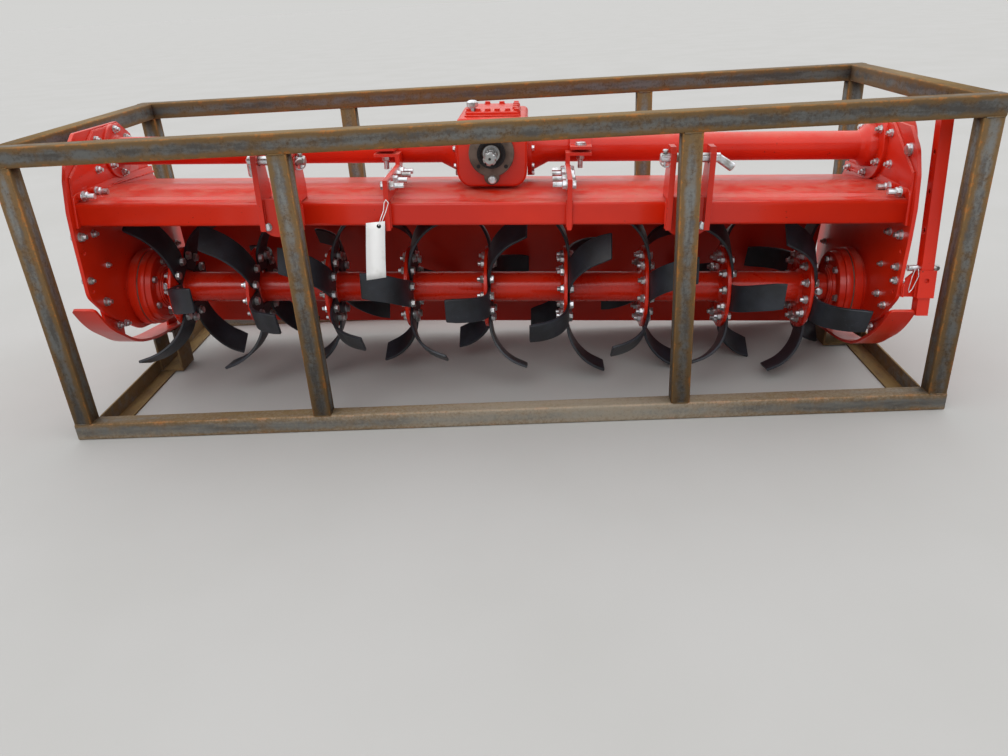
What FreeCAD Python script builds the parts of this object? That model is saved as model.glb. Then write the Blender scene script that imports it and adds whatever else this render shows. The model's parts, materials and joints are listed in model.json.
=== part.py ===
import FreeCAD, Part
import Sketcher
import math
import os

# Rotavator of the 2.1 m class, standing in the welded steel frame that it is shipped in.
# Row frame: X along the rotor, -Y towards the tractor, Z up, origin at the bottom centre of the frame.
# The machine has a frame of its own, with its origin on the rotor's axis at the middle flange, and
# one seat placement leans it in the transport frame as it stands in the photograph.

V = FreeCAD.Vector
doc = FreeCAD.newDocument("rotavator")
sheet = doc.addObject("Spreadsheet::Sheet", "Sizes")


class Size:
    # A number with the expression that gives it, so that objects can be bound to the sheet.
    def __init__(self, number, text):
        self.number = float(number)
        self.text = text

    def __float__(self):
        return self.number

    def __add__(self, other):
        other = size_of(other)
        return Size(self.number + other.number, f"({self.text} + {other.text})")

    def __sub__(self, other):
        other = size_of(other)
        return Size(self.number - other.number, f"({self.text} - {other.text})")

    def __mul__(self, other):
        other = size_of(other)
        return Size(self.number * other.number, f"({self.text} * {other.text})")

    def __truediv__(self, other):
        other = size_of(other)
        return Size(self.number / other.number, f"({self.text} / {other.text})")

    def __neg__(self):
        return Size(-self.number, f"(-1 * {self.text})")

    def __radd__(self, other):
        return size_of(other) + self

    def __rsub__(self, other):
        return size_of(other) - self

    def __rmul__(self, other):
        return size_of(other) * self


def size_of(value):
    return value if isinstance(value, Size) else Size(value, repr(float(value)))


rows = 0


def cell(alias, number):
    # One driving size: a row of the sheet, with the name that expressions use.
    global rows
    rows += 1
    sheet.set(f"A{rows}", alias)
    sheet.set(f"B{rows}", str(number))
    sheet.setAlias(f"B{rows}", alias)
    return Size(number, f"Sizes.{alias}")


# Side plates, their outlines in shares of one unit, and the bearings
half_width = cell("half_width", 1066)
plate_wall = cell("plate_wall", 10)
plate_length = cell("plate_length", 638)
plate_unit = plate_length / 6.38
hub_radius = cell("hub_radius", 115)
hub_depth = cell("hub_depth", 49)
cap_radius = cell("cap_radius", 102)
cap_depth = cell("cap_depth", 21)
cover_radius = cell("cover_radius", 92)
cover_depth = cell("cover_depth", 38)

# Running and fitted clearances
run_gap = cell("run_gap", 0.05)
fit_gap = cell("fit_gap", 0.3)

# Rotor
tube_radius = cell("rotor_tube_radius", 44.5)
neck_radius = cell("neck_radius", 40)
neck_space = cell("neck_space", 26)
flange_count = cell("flange_count", 9)
flange_radius = cell("flange_radius", 120)
flange_wall = cell("flange_wall", 10)
flange_sides = cell("flange_sides", 30)
tube_sides = cell("tube_sides", 24)
blades_per_flange = cell("blades_per_flange", 6)
blade_wall = cell("blade_wall", 8)
blade_width = cell("blade_width", 78)
blade_root = cell("blade_root", 50)
blade_bend_start = cell("blade_bend_start", 98)
blade_bend_radius = cell("blade_bend_radius", 128)
blade_bend = cell("blade_bend", 70)
blade_folds = cell("blade_folds", 4)
blade_end = cell("blade_end", 26)
blade_sweep = cell("blade_sweep", 66)
blade_phase = cell("blade_phase", 186)
helix_step = cell("helix_step", 16.75)
blade_side_space = cell("blade_side_space", 32)

# Toolbar, hood and what stands on them
bar = cell("toolbar", 60)
bar_wall = cell("toolbar_wall", 5)
bar_front = cell("toolbar_front", -268)
bar_low = cell("toolbar_low", 258)
sheet_wall = cell("sheet_wall", 5)
bar_lap = cell("bar_lap", 10)
crease_y = cell("crease_y", -50)
slope_run = cell("slope_run", 95)
slope_drop = cell("slope_drop", 35)
rib_inset = cell("rib_inset", 141)
rib_wall = cell("rib_wall", 6)
rib_depth = cell("rib_depth", 50)
deck_top = bar_low + bar + sheet_wall
box_lift = cell("box_lift", 8)
box_tall = cell("box_tall", 174)
shaft_rise = cell("shaft_rise", 89)
drive_rise = cell("drive_rise", 74)
box_low = deck_top + box_lift
box_high = box_low + box_tall
shaft_z = box_low + shaft_rise

# Drive tube, support tube and drive case
drive_y = cell("drive_y", 5)
drive_z = box_low + drive_rise
drive_radius = cell("drive_radius", 38)
drive_flange_radius = cell("drive_flange_radius", 74)
drive_flange_wall = cell("drive_flange_wall", 12)
drive_end_radius = cell("drive_end_radius", 86)
taper_length = cell("taper_length", 45)
taper_rise = cell("taper_rise", 22)
case_wall = cell("case_wall", 64)
case_top_radius = cell("case_top_radius", 82)
case_low_radius = cell("case_low_radius", 118)
case_rim = cell("case_rim", 16)
case_rim_wall = cell("case_rim_wall", 10)

# Rear board and its hinge
hinge_y = cell("hinge_y", 285)
hinge_z = cell("hinge_z", 150)
hinge_rod = cell("hinge_rod", 8)
knuckle_radius = cell("knuckle_radius", 15)
knuckle_length = cell("knuckle_length", 60)
knuckle_gap = cell("knuckle_gap", 5)
board_end_gap = cell("board_end_gap", 16)
board_depth = cell("board_depth", 374)
board_bow = cell("board_bow", 22)
board_lip = cell("board_lip", 36)

# Gearbox
box_x = cell("box_x", 20)
box_width = cell("box_width", 184)
box_front = cell("box_front", -150)
box_back = cell("box_back", 100)
box_corner = cell("box_corner", 38)
box_top_corner = cell("box_top_corner", 14)
cover_ring = cell("cover_ring", 59)
cover_ring_wall = cell("cover_ring_wall", 20)
cover_lug = cell("cover_lug", 20)
lug_drop = cell("lug_drop", 60)
shaft_radius = cell("shaft_radius", 17.5)
shaft_length = cell("shaft_length", 72)
journal_radius = cell("journal_radius", 22)
lid_width = cell("lid_width", 136)
lid_length = cell("lid_length", 170)
lid_wall = cell("lid_wall", 12)

# Hitch brackets
mast_left_x = cell("mast_left_x", 242)
mast_right_x = cell("mast_right_x", 221)
mast_wall = cell("mast_wall", 12)
mast_toe = cell("mast_toe", 14)
mast_hook = cell("mast_hook", 9)
mast_rise = cell("mast_rise", 54)
clamp_reach = cell("clamp_reach", 83)
clamp_wall = cell("clamp_wall", 8)
clamp_gap = cell("clamp_gap", 8)
saddle_width = cell("saddle_width", 58)
saddle_wall = cell("saddle_wall", 9)
mast_run = cell("mast_run", 66)
link_x = cell("link_x", 517)
link_spread = cell("link_spread", 95)
link_wall = cell("link_wall", 14)
link_nose = cell("link_nose", 23)
link_foot = cell("link_foot", 8)
link_back_wall = cell("link_back_wall", 10)
link_back_drop = cell("link_back_drop", 25)
link_back_round = cell("link_back_round", 38)
link_pin_rise = cell("link_pin_rise", 102)
link_pin_in = cell("link_pin_in", 26)
link_pin_radius = cell("link_pin_radius", 14)
link_pin_end = cell("link_pin_end", 20)
link_front = bar_front - link_nose
link_pin_y = link_front + link_pin_in
link_pin_z = deck_top + link_pin_rise

# Skids
skid_out = cell("skid_out", 15)
skid_width = cell("skid_width", 66)
skid_wall = cell("skid_wall", 8)
skid_lift = cell("skid_lift", 46.7)
tab_wall = cell("tab_wall", 8)

# Transport frame, which takes its size from the machine and the space left round it
rail = cell("rail", 50)
rail_wall = cell("rail_wall", 3)
inner_post_x = cell("inner_post_x", 493)
end_space = cell("end_space", 124)
front_space = cell("front_space", 10.5)
rear_space = cell("rear_space", 200.5)
top_space = cell("top_space", 1.7)
angle_leg = cell("angle_leg", 50)
angle_wall = cell("angle_wall", 5)
rest_length = cell("rest_length", 90)
rest_back = cell("rest_back", 12)
rest_wall = cell("rest_wall", 6)

# How the machine stands in it: shifted, one end ahead and the right end lower
seat_x = cell("seat_x", -23)
skew = cell("skew", 16)
fall = cell("fall", 42.8)

# Parking stand
leg = cell("stand_leg", 30)
leg_wall = cell("stand_leg_wall", 3)
leg_below = cell("stand_leg_below", 116)
leg_above = cell("stand_leg_above", 390)
leg_out = cell("stand_leg_out", 64)
stand_in = cell("stand_in", 13)
stand_lean = cell("stand_lean", 10.9)
leg_gap = cell("stand_leg_gap", 0.5)
sleeve_wall = cell("stand_sleeve_wall", 5.5)
sleeve_length = cell("stand_sleeve_length", 70)
sleeve_high = cell("stand_sleeve_high", 142)
arm_wall = cell("stand_arm_wall", 8)
arm_back = cell("stand_arm_back", 10)
arm_drop = cell("stand_arm_drop", 34)
pin_radius = cell("stand_pin_radius", 5)
pin_length = cell("stand_pin_length", 70)
leg_hole_step = cell("stand_hole_step", 95)

skid_depth = plate_unit * 1.95
plate_high = plate_unit * 4.8
rotor_height = skid_lift + skid_depth + fall
crate_length = 2 * (half_width + plate_wall + end_space)
crate_depth = 2 * rail + front_space - link_front + hinge_y + rear_space
crate_height = rotor_height + fall + plate_high + top_space
seat_y = rail + front_space - link_front - crate_depth / 2

nodes = []


def seat_placement():
    # Turned about Z and leaned about the machine's own Y, on the rotor's middle.
    turn = -math.degrees(math.asin(float(skew) / float(half_width)))
    lean = math.degrees(math.asin(float(fall) / float(half_width)))
    turned = FreeCAD.Rotation(turn, lean, 0)
    return FreeCAD.Placement(V(float(seat_x), float(seat_y), float(rotor_height)), turned)


def keep(thing, label, seated=True):
    # Names a sub-part, which is written to a file of that name, and seats it.
    thing.Label = label
    if seated:
        thing.Placement = seat_placement()
    nodes.append(thing)
    return thing


def place(thing, at):
    for axis, value in zip("xyz", at):
        thing.setExpression("Placement.Base." + axis, size_of(value).text)
    return thing


def block(name, size, at):
    thing = doc.addObject("Part::Box", name)
    for prop, value in zip(("Length", "Width", "Height"), size):
        thing.setExpression(prop, size_of(value).text)
    return place(thing, at)


turned_to = {
    "x": FreeCAD.Rotation(V(0, 1, 0), 90),
    "y": FreeCAD.Rotation(V(1, 0, 0), -90),
    "z": FreeCAD.Rotation(),
}


def rod(name, radius, length, at, along="x"):
    thing = doc.addObject("Part::Cylinder", name)
    thing.setExpression("Radius", size_of(radius).text)
    thing.setExpression("Height", size_of(length).text)
    thing.Placement = FreeCAD.Placement(V(), turned_to[along])
    return place(thing, at)


def cone(name, radius, end_radius, length, at, along="x"):
    thing = doc.addObject("Part::Cone", name)
    thing.setExpression("Radius1", size_of(radius).text)
    thing.setExpression("Radius2", size_of(end_radius).text)
    thing.setExpression("Height", size_of(length).text)
    thing.Placement = FreeCAD.Placement(V(), turned_to[along])
    return place(thing, at)


def joined(name, things):
    thing = doc.addObject("Part::MultiFuse", name)
    thing.Shapes = things
    return thing


def grouped(name, things):
    thing = doc.addObject("Part::Compound", name)
    thing.Links = things
    return thing


def cut(name, base, tool):
    thing = doc.addObject("Part::Cut", name)
    thing.Base = base
    thing.Tool = tool
    return thing


def square_tube(name, length, side, wall, at, along="x"):
    # A square hollow section, open at its ends, from its lowest corner.
    axis = "xyz".index(along)
    outer = [side, side, side]
    inner = [side - 2 * wall] * 3
    start = [value + wall for value in at]
    outer[axis] = length
    inner[axis] = length + 2 * wall
    start[axis] = at[axis] - wall
    return cut(name, block(name + "_outside", outer, at), block(name + "_inside", inner, start))


def plate(name, outline, wall, at, holes=(), plane="YZ_Plane", corners=None):
    # A flat plate: an outline on an origin plane, moved to "at" along its normal and padded by its
    # wall. "holes" are (u, v, radius) and "corners" give the radius of an outline's numbered corner.
    body = doc.addObject("PartDesign::Body", name)
    support = [face for face in body.Origin.OriginFeatures if face.Role == plane][0]
    sketch = body.newObject("Sketcher::SketchObject", name + "_outline")
    sketch.AttachmentSupport = [(support, "")]
    sketch.MapMode = "FlatFace"
    sketch.setExpression("AttachmentOffset.Base.z", size_of(at).text)
    points = [(size_of(u), size_of(v)) for u, v in outline]
    for index, (u, v) in enumerate(points):
        next_u, next_v = points[(index + 1) % len(points)]
        sketch.addGeometry(Part.LineSegment(V(float(u), float(v)), V(float(next_u), float(next_v))))
    for index in range(len(points)):
        sketch.addConstraint(Sketcher.Constraint("Coincident", index, 2, (index + 1) % len(points), 1))
    for index, point in enumerate(points):
        for kind, value in zip(("DistanceX", "DistanceY"), point):
            number = sketch.addConstraint(Sketcher.Constraint(kind, -1, 1, index, 1, float(value)))
            sketch.setExpression(f"Constraints[{number}]", value.text)
    for u, v, radius in holes:
        circle = sketch.addGeometry(Part.Circle(V(float(u), float(v)), V(0, 0, 1), float(radius)))
        for kind, value in (("DistanceX", size_of(u)), ("DistanceY", size_of(v))):
            number = sketch.addConstraint(Sketcher.Constraint(kind, -1, 1, circle, 3, float(value)))
            sketch.setExpression(f"Constraints[{number}]", value.text)
        number = sketch.addConstraint(Sketcher.Constraint("Radius", circle, float(radius)))
        sketch.setExpression(f"Constraints[{number}]", size_of(radius).text)
    pad = body.newObject("PartDesign::Pad", name + "_pad")
    pad.Profile = sketch
    pad.setExpression("Length", size_of(wall).text)
    if corners:
        doc.recompute()
        across = (1, 2) if plane == "YZ_Plane" else (0, 2)
        for index, radius in corners.items():
            base = body.Tip
            edge = corner_edge(base.Shape, across, points[index])
            fillet = body.newObject("PartDesign::Fillet", f"{name}_corner_{index}")
            fillet.Base = (base, [edge])
            fillet.setExpression("Radius", size_of(radius).text)
            body.Tip = fillet
            doc.recompute()
    return body


def corner_edge(shape, across, point):
    # The name of the edge that runs through the wall at one corner of the outline.
    wanted = [float(value) for value in point]
    for number, edge in enumerate(shape.Edges, 1):
        ends = [[vertex.Point[axis] for axis in across] for vertex in edge.Vertexes]
        if len(ends) == 2 and all(math.dist(end, wanted) < 0.01 for end in ends):
            return f"Edge{number}"
    raise ValueError(f"no corner at {wanted}")


def shaped(name, shape):
    thing = doc.addObject("Part::Feature", name)
    thing.Shape = shape
    return thing


def folded_sheet(points, wall, start, length):
    # A bent sheet along X: the line of one face in (y, z), thickened to the left of its run, with the
    # outer bends rounded.
    line = Part.makePolygon([V(start, y, z) for y, z in points])
    face = line.makeOffset2D(-wall, join=0, fill=True, openResult=True)
    return face.extrude(V(length, 0, 0))


half_length = crate_length / 2
half_depth = crate_depth / 2

# Rails and posts of the transport frame
front_and_rear = (-half_depth, half_depth - rail)
base_rails = [
    square_tube(f"base_rail_{number}", crate_length, rail, rail_wall, (-half_length, y, 0))
    for number, y in enumerate(front_and_rear)
]
keep(grouped("base_rails", base_rails), "crate_base_rails", seated=False)

top_rails = [
    square_tube(f"top_rail_{number}", crate_length, rail, rail_wall, (-half_length, y, crate_height - rail))
    for number, y in enumerate(front_and_rear)
]
keep(grouped("top_rails", top_rails), "crate_top_rails", seated=False)

end_rail_length = crate_depth - 2 * rail
end_rails = [
    square_tube(
        f"end_rail_{number}", end_rail_length, rail, rail_wall,
        (x, rail - half_depth, crate_height - rail), along="y",
    )
    for number, x in enumerate((-half_length, half_length - rail))
]
keep(grouped("end_rails", end_rails), "crate_top_end_rails", seated=False)

post_height = crate_height - 2 * rail
post_places = (-half_length, -inner_post_x - rail / 2, inner_post_x - rail / 2, half_length - rail)
for side, y in zip(("front", "rear"), front_and_rear):
    posts = [
        square_tube(f"{side}_post_{number}", post_height, rail, rail_wall, (x, y, rail), along="z")
        for number, x in enumerate(post_places)
    ]
    keep(grouped(f"{side}_posts", posts), f"crate_{side}_posts", seated=False)

# Angle irons that run front to back between the base rails, upright leg outside
angle_x = half_length - rail
angle_solids = []
for side, upright_x, flat_x in (
    ("left", -angle_x, -angle_x),
    ("right", angle_x - angle_wall, angle_x - angle_leg),
):
    upright = block(
        f"angle_upright_{side}", (angle_wall, end_rail_length, angle_leg), (upright_x, rail - half_depth, 0)
    )
    flat = block(
        f"angle_flat_{side}", (angle_leg, end_rail_length, angle_wall), (flat_x, rail - half_depth, 0)
    )
    angle_solids.append(joined(f"angle_{side}", [upright, flat]))
keep(grouped("cross_angles", angle_solids), "crate_cross_angles", seated=False)

# Rotor: tube, flanges and swept blades as one welded and bolted reel
def blade_section():
    # Face of the bent blade seen along the path of its tip: straight shank, bend in even folds, and
    # short end.
    half = float(blade_wall) / 2
    bend, folds = math.radians(float(blade_bend)), int(float(blade_folds))
    start, radius, end = float(blade_bend_start), float(blade_bend_radius), float(blade_end)

    def side(offset):
        arm = radius - offset
        angles = [bend * fold / folds for fold in range(folds + 1)]
        points = [V(radius - arm * math.cos(angle), 0, start + arm * math.sin(angle)) for angle in angles]
        tip = points[-1] + V(end * math.sin(bend), 0, end * math.cos(bend))
        return [V(offset, 0, float(blade_root))] + points + [tip]

    outline = side(-half) + side(half)[::-1]
    return Part.Face(Part.makePolygon(outline + outline[:1]))


def blade_side():
    # Outline of the blade in its plane of rotation: straight shank, then swept back to its tip.
    half, sweep, root = float(blade_width) / 2, float(blade_sweep), float(blade_root)
    bend = math.radians(float(blade_bend))
    start = float(blade_bend_start)
    high = start + float(blade_bend_radius) * math.sin(bend)
    high += float(blade_end) * math.cos(bend) + float(blade_wall) / 2
    middle = (start + high) / 2
    shank = half * 0.8
    trail = [V(0, shank, root), V(0, half + sweep * 0.1, start), V(0, half + sweep * 0.48, middle),
             V(0, half + sweep, high)]
    lead = [V(0, -half + sweep, high), V(0, -half + sweep * 0.42, middle), V(0, -half + sweep * 0.06, start),
            V(0, -shank, root)]
    return Part.Face(Part.makePolygon(trail + lead + trail[:1]))


def blade_reach():
    # How far a blade's tip stands out along the rotor from its shank.
    bend = math.radians(float(blade_bend))
    radius, half = float(blade_bend_radius), float(blade_wall) / 2
    return radius - (radius - half) * math.cos(bend) + float(blade_end) * math.sin(bend)


def one_blade():
    reach = blade_reach() + float(blade_wall)
    side_run = float(blade_width) + float(blade_sweep)
    bent = blade_section().translated(V(0, -side_run, 0)).extrude(V(0, 2 * side_run, 0))
    band = blade_side().translated(V(-float(blade_wall), 0, 0)).extrude(V(reach + float(blade_wall), 0, 0))
    return bent.common(band).Solids[0]


def sided_disc(radius, sides, length, start):
    # A disc or tube along X with few sides, to keep the reel's facets down.
    count = int(float(sides))
    angles = [2 * math.pi * (number + 0.5) / count for number in range(count)]
    points = [V(start, float(radius) * math.cos(angle), float(radius) * math.sin(angle)) for angle in angles]
    return Part.Face(Part.makePolygon(points + points[:1])).extrude(V(length, 0, 0))


def reel_shape():
    blade = one_blade()
    count = int(float(flange_count))
    pitch = 2 * (float(half_width) - float(blade_side_space) - blade_reach()) / (count - 1)
    per_flange = int(float(blades_per_flange))
    disc_x = -(float(flange_wall) + float(blade_wall)) / 2
    first = -(count - 1) / 2
    start = first * pitch + disc_x - float(flange_wall) / 2
    tube_length = (count - 1) * pitch + float(flange_wall)
    x_axis = V(1, 0, 0)
    solids = [sided_disc(tube_radius, tube_sides, tube_length, start)]
    neck = float(half_width - neck_space)
    solids.append(Part.makeCylinder(float(neck_radius), 2 * neck, V(-neck, 0, 0), x_axis))
    for flange in range(count):
        x = (first + flange) * pitch
        disc_start = x + disc_x - float(flange_wall) / 2
        solids.append(sided_disc(flange_radius, flange_sides, float(flange_wall), disc_start))
        for number in range(per_flange):
            angle = float(blade_phase) + flange * float(helix_step) + number * 360 / per_flange
            turned = blade.mirror(V(), V(1, 0, 0)) if number % 2 else blade.copy()
            turned.rotate(V(), x_axis, angle - 90)
            turned.translate(V(x, 0, 0))
            solids.append(turned)
    return solids[0].fuse(solids[1:]).removeSplitter()


keep(shaped("reel", reel_shape()), "rotor_reel")

# Side plates: the outline from the top front corner down the nose and round the back
plate_outline = [(plate_unit * y, plate_unit * z) for y, z in (
    (-1.70, 4.80), (-2.28, 4.32), (-2.62, 3.70), (-2.90, 2.29), (-2.93, 0.70), (-2.22, -0.12), (-0.72, -1.10),
    (0.88, -1.38), (2.40, -1.20), (3.25, -0.10), (3.45, 1.10), (2.92, 2.10), (2.00, 3.03), (1.10, 4.40),
    (0.50, 4.80),
)]
plate_corners = {4: plate_unit * 0.4, 5: plate_unit * 0.6, 6: plate_unit * 0.9, 8: plate_unit * 0.8,
                 9: plate_unit * 0.6}
for side, at in (("left", -half_width - plate_wall), ("right", half_width)):
    holes = [(0, 0, neck_radius + 5)]
    keep(plate(f"plate_{side}", plate_outline, plate_wall, at, holes, corners=plate_corners),
         f"side_plate_{side}")

# Bearing housings: hubs on the inner faces with a bolted cap that the rotor's neck runs through, and
# the outer cover on the left
bore = neck_radius + run_gap
housings = []
for side, hub_x, cap_x in (
    ("left", -half_width, -half_width + hub_depth),
    ("right", half_width - hub_depth, half_width - hub_depth - cap_depth),
):
    ring = joined(f"hub_rings_{side}", [
        rod(f"hub_ring_{side}", hub_radius, hub_depth, (hub_x, 0, 0)),
        rod(f"hub_cap_{side}", cap_radius, cap_depth, (cap_x, 0, 0)),
    ])
    hole = rod(f"hub_bore_{side}", bore, hub_depth + cap_depth, (min(hub_x, cap_x, key=float), 0, 0))
    housings.append(cut(f"hub_{side}", ring, hole))
cover_x = -half_width - plate_wall * 2
housings.append(joined("outer_cover", [
    rod("cover_disc", cover_radius, plate_wall, (cover_x, 0, 0)),
    cone("cover_dome", cover_radius * 0.62, cover_radius * 0.78, cover_depth, (cover_x - cover_depth, 0, 0)),
]))
keep(grouped("housings", housings), "bearing_housings")

# Toolbar and hood
keep(square_tube("toolbar_tube", 2 * half_width, bar, bar_wall, (-half_width, bar_front, bar_low)), "toolbar")

bar_top = bar_low + bar
slope_y = hinge_y - slope_run
hood_end = (hinge_y - knuckle_radius / 2, hinge_z + knuckle_radius * 1.5)
hood_line = ((bar_front + bar_lap, bar_top), (crease_y, bar_top), (slope_y, bar_top - slope_drop), hood_end)
hood_points = [(float(y), float(z)) for y, z in hood_line]
hood_sheet = folded_sheet(hood_points, float(sheet_wall), -float(half_width), 2 * float(half_width))
knuckle_span = half_width - knuckle_length * 2
knuckle_places = [knuckle_span * share for share in (-1, -0.08, 0.84)]


def knuckles(name, places, offset, direction):
    # Rings of the rear board's hinge, each with a tab that reaches to its sheet.
    solids = []
    for number, x in enumerate(places):
        start = x + offset
        ring = rod(f"{name}_ring_{number}", knuckle_radius, knuckle_length, (start, hinge_y, hinge_z))
        tab = block(
            f"{name}_tab_{number}", (knuckle_length, sheet_wall * 2, knuckle_radius * 2),
            (start, hinge_y - sheet_wall, hinge_z if direction > 0 else hinge_z - knuckle_radius * 2),
        )
        solids += [ring, tab]
    return solids


rod_bore = hinge_rod + run_gap
ribs = [
    plate(f"hood_rib_{number}", (
        (bar_front + bar, bar_top), (bar_front + bar, bar_top - rib_depth),
        (bar_front + bar + rib_depth, bar_top - rib_depth), (crease_y, bar_top),
    ), rib_wall, x - rib_wall / 2)
    for number, x in enumerate((rib_inset - half_width, half_width - rib_inset))
]
hood_pieces = [shaped("hood_sheet", hood_sheet)] + ribs + knuckles("hood", knuckle_places, 0, 1)
hood_solid = joined("hood_solid", hood_pieces)
hood_bore = rod("hood_bore", rod_bore, 2 * half_width, (-half_width, hinge_y, hinge_z))
keep(cut("hood_body", hood_solid, hood_bore), "hood")

board_half = half_width - board_end_gap
board_low = hinge_z - board_depth
board_top = hinge_z - knuckle_radius * 1.8
board_line = ((hinge_y, board_top), (hinge_y + board_bow, (board_top + board_low) / 2),
              (hinge_y + board_bow / 2, board_low), (hinge_y + board_bow / 2 + board_lip, board_low))
board_points = [(float(y), float(z)) for y, z in reversed(board_line)]
board_sheet = folded_sheet(board_points, float(sheet_wall), -float(board_half), 2 * float(board_half))
board_solid = joined("board_solid", [shaped("board_sheet", board_sheet)]
                     + knuckles("board", knuckle_places[::2], knuckle_length + knuckle_gap, -1))
board_bore = rod("board_bore", rod_bore, 2 * half_width, (-half_width, hinge_y, hinge_z))
keep(cut("board_body", board_solid, board_bore), "rear_board")
hinge_pin = rod("board_rod", hinge_rod, 2 * (half_width - knuckle_gap),
                (knuckle_gap - half_width, hinge_y, hinge_z))
keep(grouped("board_rods", [hinge_pin]), "rear_board_rod")

# Drive tube to the right and support tube to the left, flanged at both ends
neck_x = box_width / 2
for side, sign in (("left", -1), ("right", 1)):
    start = box_x + sign * neck_x
    length = half_width + sign * box_x * -1 - neck_x
    low = start if sign > 0 else -half_width
    wall = drive_flange_wall
    inner = start if sign > 0 else start - wall
    outer = half_width - wall if sign > 0 else -half_width
    wide = drive_radius + taper_rise
    taper = (wide, drive_radius) if sign > 0 else (drive_radius, wide)
    taper_x = start + wall if sign > 0 else start - wall - taper_length
    end_radius = drive_end_radius if sign > 0 else drive_flange_radius
    tube = joined(f"tube_{side}", [
        rod(f"tube_{side}_barrel", drive_radius, length, (low, drive_y, drive_z)),
        rod(f"tube_{side}_inner", drive_flange_radius, wall, (inner, drive_y, drive_z)),
        rod(f"tube_{side}_outer", end_radius, wall, (outer, drive_y, drive_z)),
        cone(f"tube_{side}_taper", taper[0], taper[1], taper_length, (taper_x, drive_y, drive_z)),
    ])
    keep(tube, "drive_tube_right" if sign > 0 else "support_tube_left")


def two_circle_case(low_radius, top_radius, start, wall):
    # A case round the rotor's end and the drive tube's end, with straight sides between them.
    y, z = float(drive_y), float(drive_z)
    distance = math.hypot(y, z)
    tilt = math.atan2(z, y)
    lean_in = math.acos((low_radius - top_radius) / distance)
    points = []
    for centre, radius in (((0, 0), low_radius), ((y, z), top_radius)):
        for sign in (-1, 1):
            angle = tilt + sign * lean_in
            reach = (centre[0] + radius * math.cos(angle), centre[1] + radius * math.sin(angle))
            points.append(V(start, *reach))
    low = V(start, -low_radius * math.cos(tilt), -low_radius * math.sin(tilt))
    top = V(start, y + top_radius * math.cos(tilt), z + top_radius * math.sin(tilt))
    edges = [
        Part.Arc(points[0], low, points[1]).toShape(),
        Part.LineSegment(points[1], points[3]).toShape(),
        Part.Arc(points[3], top, points[2]).toShape(),
        Part.LineSegment(points[2], points[0]).toShape(),
    ]
    return Part.Face(Part.Wire(edges)).extrude(V(wall, 0, 0))


case_start = float(half_width + plate_wall)
case_body = two_circle_case(float(case_low_radius), float(case_top_radius), case_start, float(case_wall))
case_edge = two_circle_case(float(case_low_radius + case_rim), float(case_top_radius + case_rim),
                            case_start, float(case_rim_wall))
keep(shaped("case", case_body.fuse(case_edge)), "drive_case")

# Gearbox: cast body with rounded lower corners, front cover, lid and input shaft
box_left = box_x - box_width / 2
box_right = box_x + box_width / 2
box_outline = ((box_left, box_low), (box_right, box_low), (box_right, box_high), (box_left, box_high))
box_corners = {0: box_corner, 1: box_corner, 2: box_top_corner, 3: box_top_corner}
keep(plate("gearbox", box_outline, box_back - box_front, -box_back, plane="XZ_Plane", corners=box_corners),
     "gearbox_housing")

cover_y = box_front - cover_ring_wall
lug_z = shaft_z - lug_drop
front_cover = cut("front_cover", joined("cover_blank", [
    rod("cover_ring_disc", cover_ring, cover_ring_wall, (box_x, cover_y, shaft_z), along="y"),
    rod("cover_lug_disc", cover_lug, cover_ring_wall, (box_x, cover_y, lug_z), along="y"),
    block("cover_web", (cover_lug * 2, cover_ring_wall, lug_drop), (box_x - cover_lug, cover_y, lug_z)),
]), rod("cover_bore", journal_radius + run_gap, cover_ring_wall, (box_x, cover_y, shaft_z), along="y"))
keep(front_cover, "gearbox_front_cover")

# Input shaft: the splined end, plain to the splines' tops, on a journal that turns in the cover
shaft = joined("shaft", [
    rod("shaft_end", shaft_radius, shaft_length, (box_x, cover_y - shaft_length, shaft_z), along="y"),
    rod("shaft_journal", journal_radius, cover_ring_wall - fit_gap, (box_x, cover_y, shaft_z), along="y"),
])
keep(shaft, "input_shaft")

lid_back = (box_front + box_back) / 2 - lid_length / 2
lid = block("lid", (lid_width, lid_length, lid_wall), (box_x - lid_width / 2, lid_back, box_high))
keep(grouped("lids", [lid]), "gearbox_lid")

# Mast brackets: an upright plate from the toolbar to the tube, and beside it a clamp round the tube, whose
# halves end in two flat ears in front of it
saddle_radius = drive_radius + saddle_wall
mast_top = deck_top + mast_rise
mast_outline = (
    (bar_front - mast_toe, bar_low - mast_hook), (bar_front, bar_low - mast_hook), (bar_front, deck_top),
    (drive_y - mast_run, deck_top), (drive_y - drive_radius, drive_z - drive_radius), (drive_y, drive_z),
    (drive_y - clamp_reach, drive_z), (drive_y - clamp_reach, mast_top), (bar_front - mast_toe, mast_top),
)
for side, middle in (("left", -mast_left_x), ("right", mast_right_x)):
    sign = -1 if side == "left" else 1
    at = middle - mast_wall / 2
    saddle_x = at + mast_wall if sign > 0 else at - saddle_width
    ears = [
        block(f"clamp_ear_{side}_{number}", (saddle_width, clamp_reach, clamp_wall),
              (saddle_x, drive_y - clamp_reach, low))
        for number, low in enumerate((drive_z - clamp_wall, drive_z + clamp_gap))
    ]
    blank = joined(f"mast_blank_{side}", [
        plate(f"mast_plate_{side}", mast_outline, mast_wall, at),
        rod(f"saddle_{side}", saddle_radius, saddle_width, (saddle_x, drive_y, drive_z)),
    ] + ears)
    low = saddle_x if sign < 0 else at
    below = joined(f"mast_clear_{side}", [
        rod(f"tube_space_{side}", drive_radius + fit_gap, saddle_width + mast_wall, (low, drive_y, drive_z)),
        block(f"saddle_space_{side}", (saddle_width, 2 * saddle_radius, saddle_radius),
              (saddle_x, drive_y - saddle_radius, drive_z - saddle_radius - mast_hook)),
    ])
    keep(cut(f"mast_{side}", blank, below), f"mast_bracket_{side}")

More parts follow.
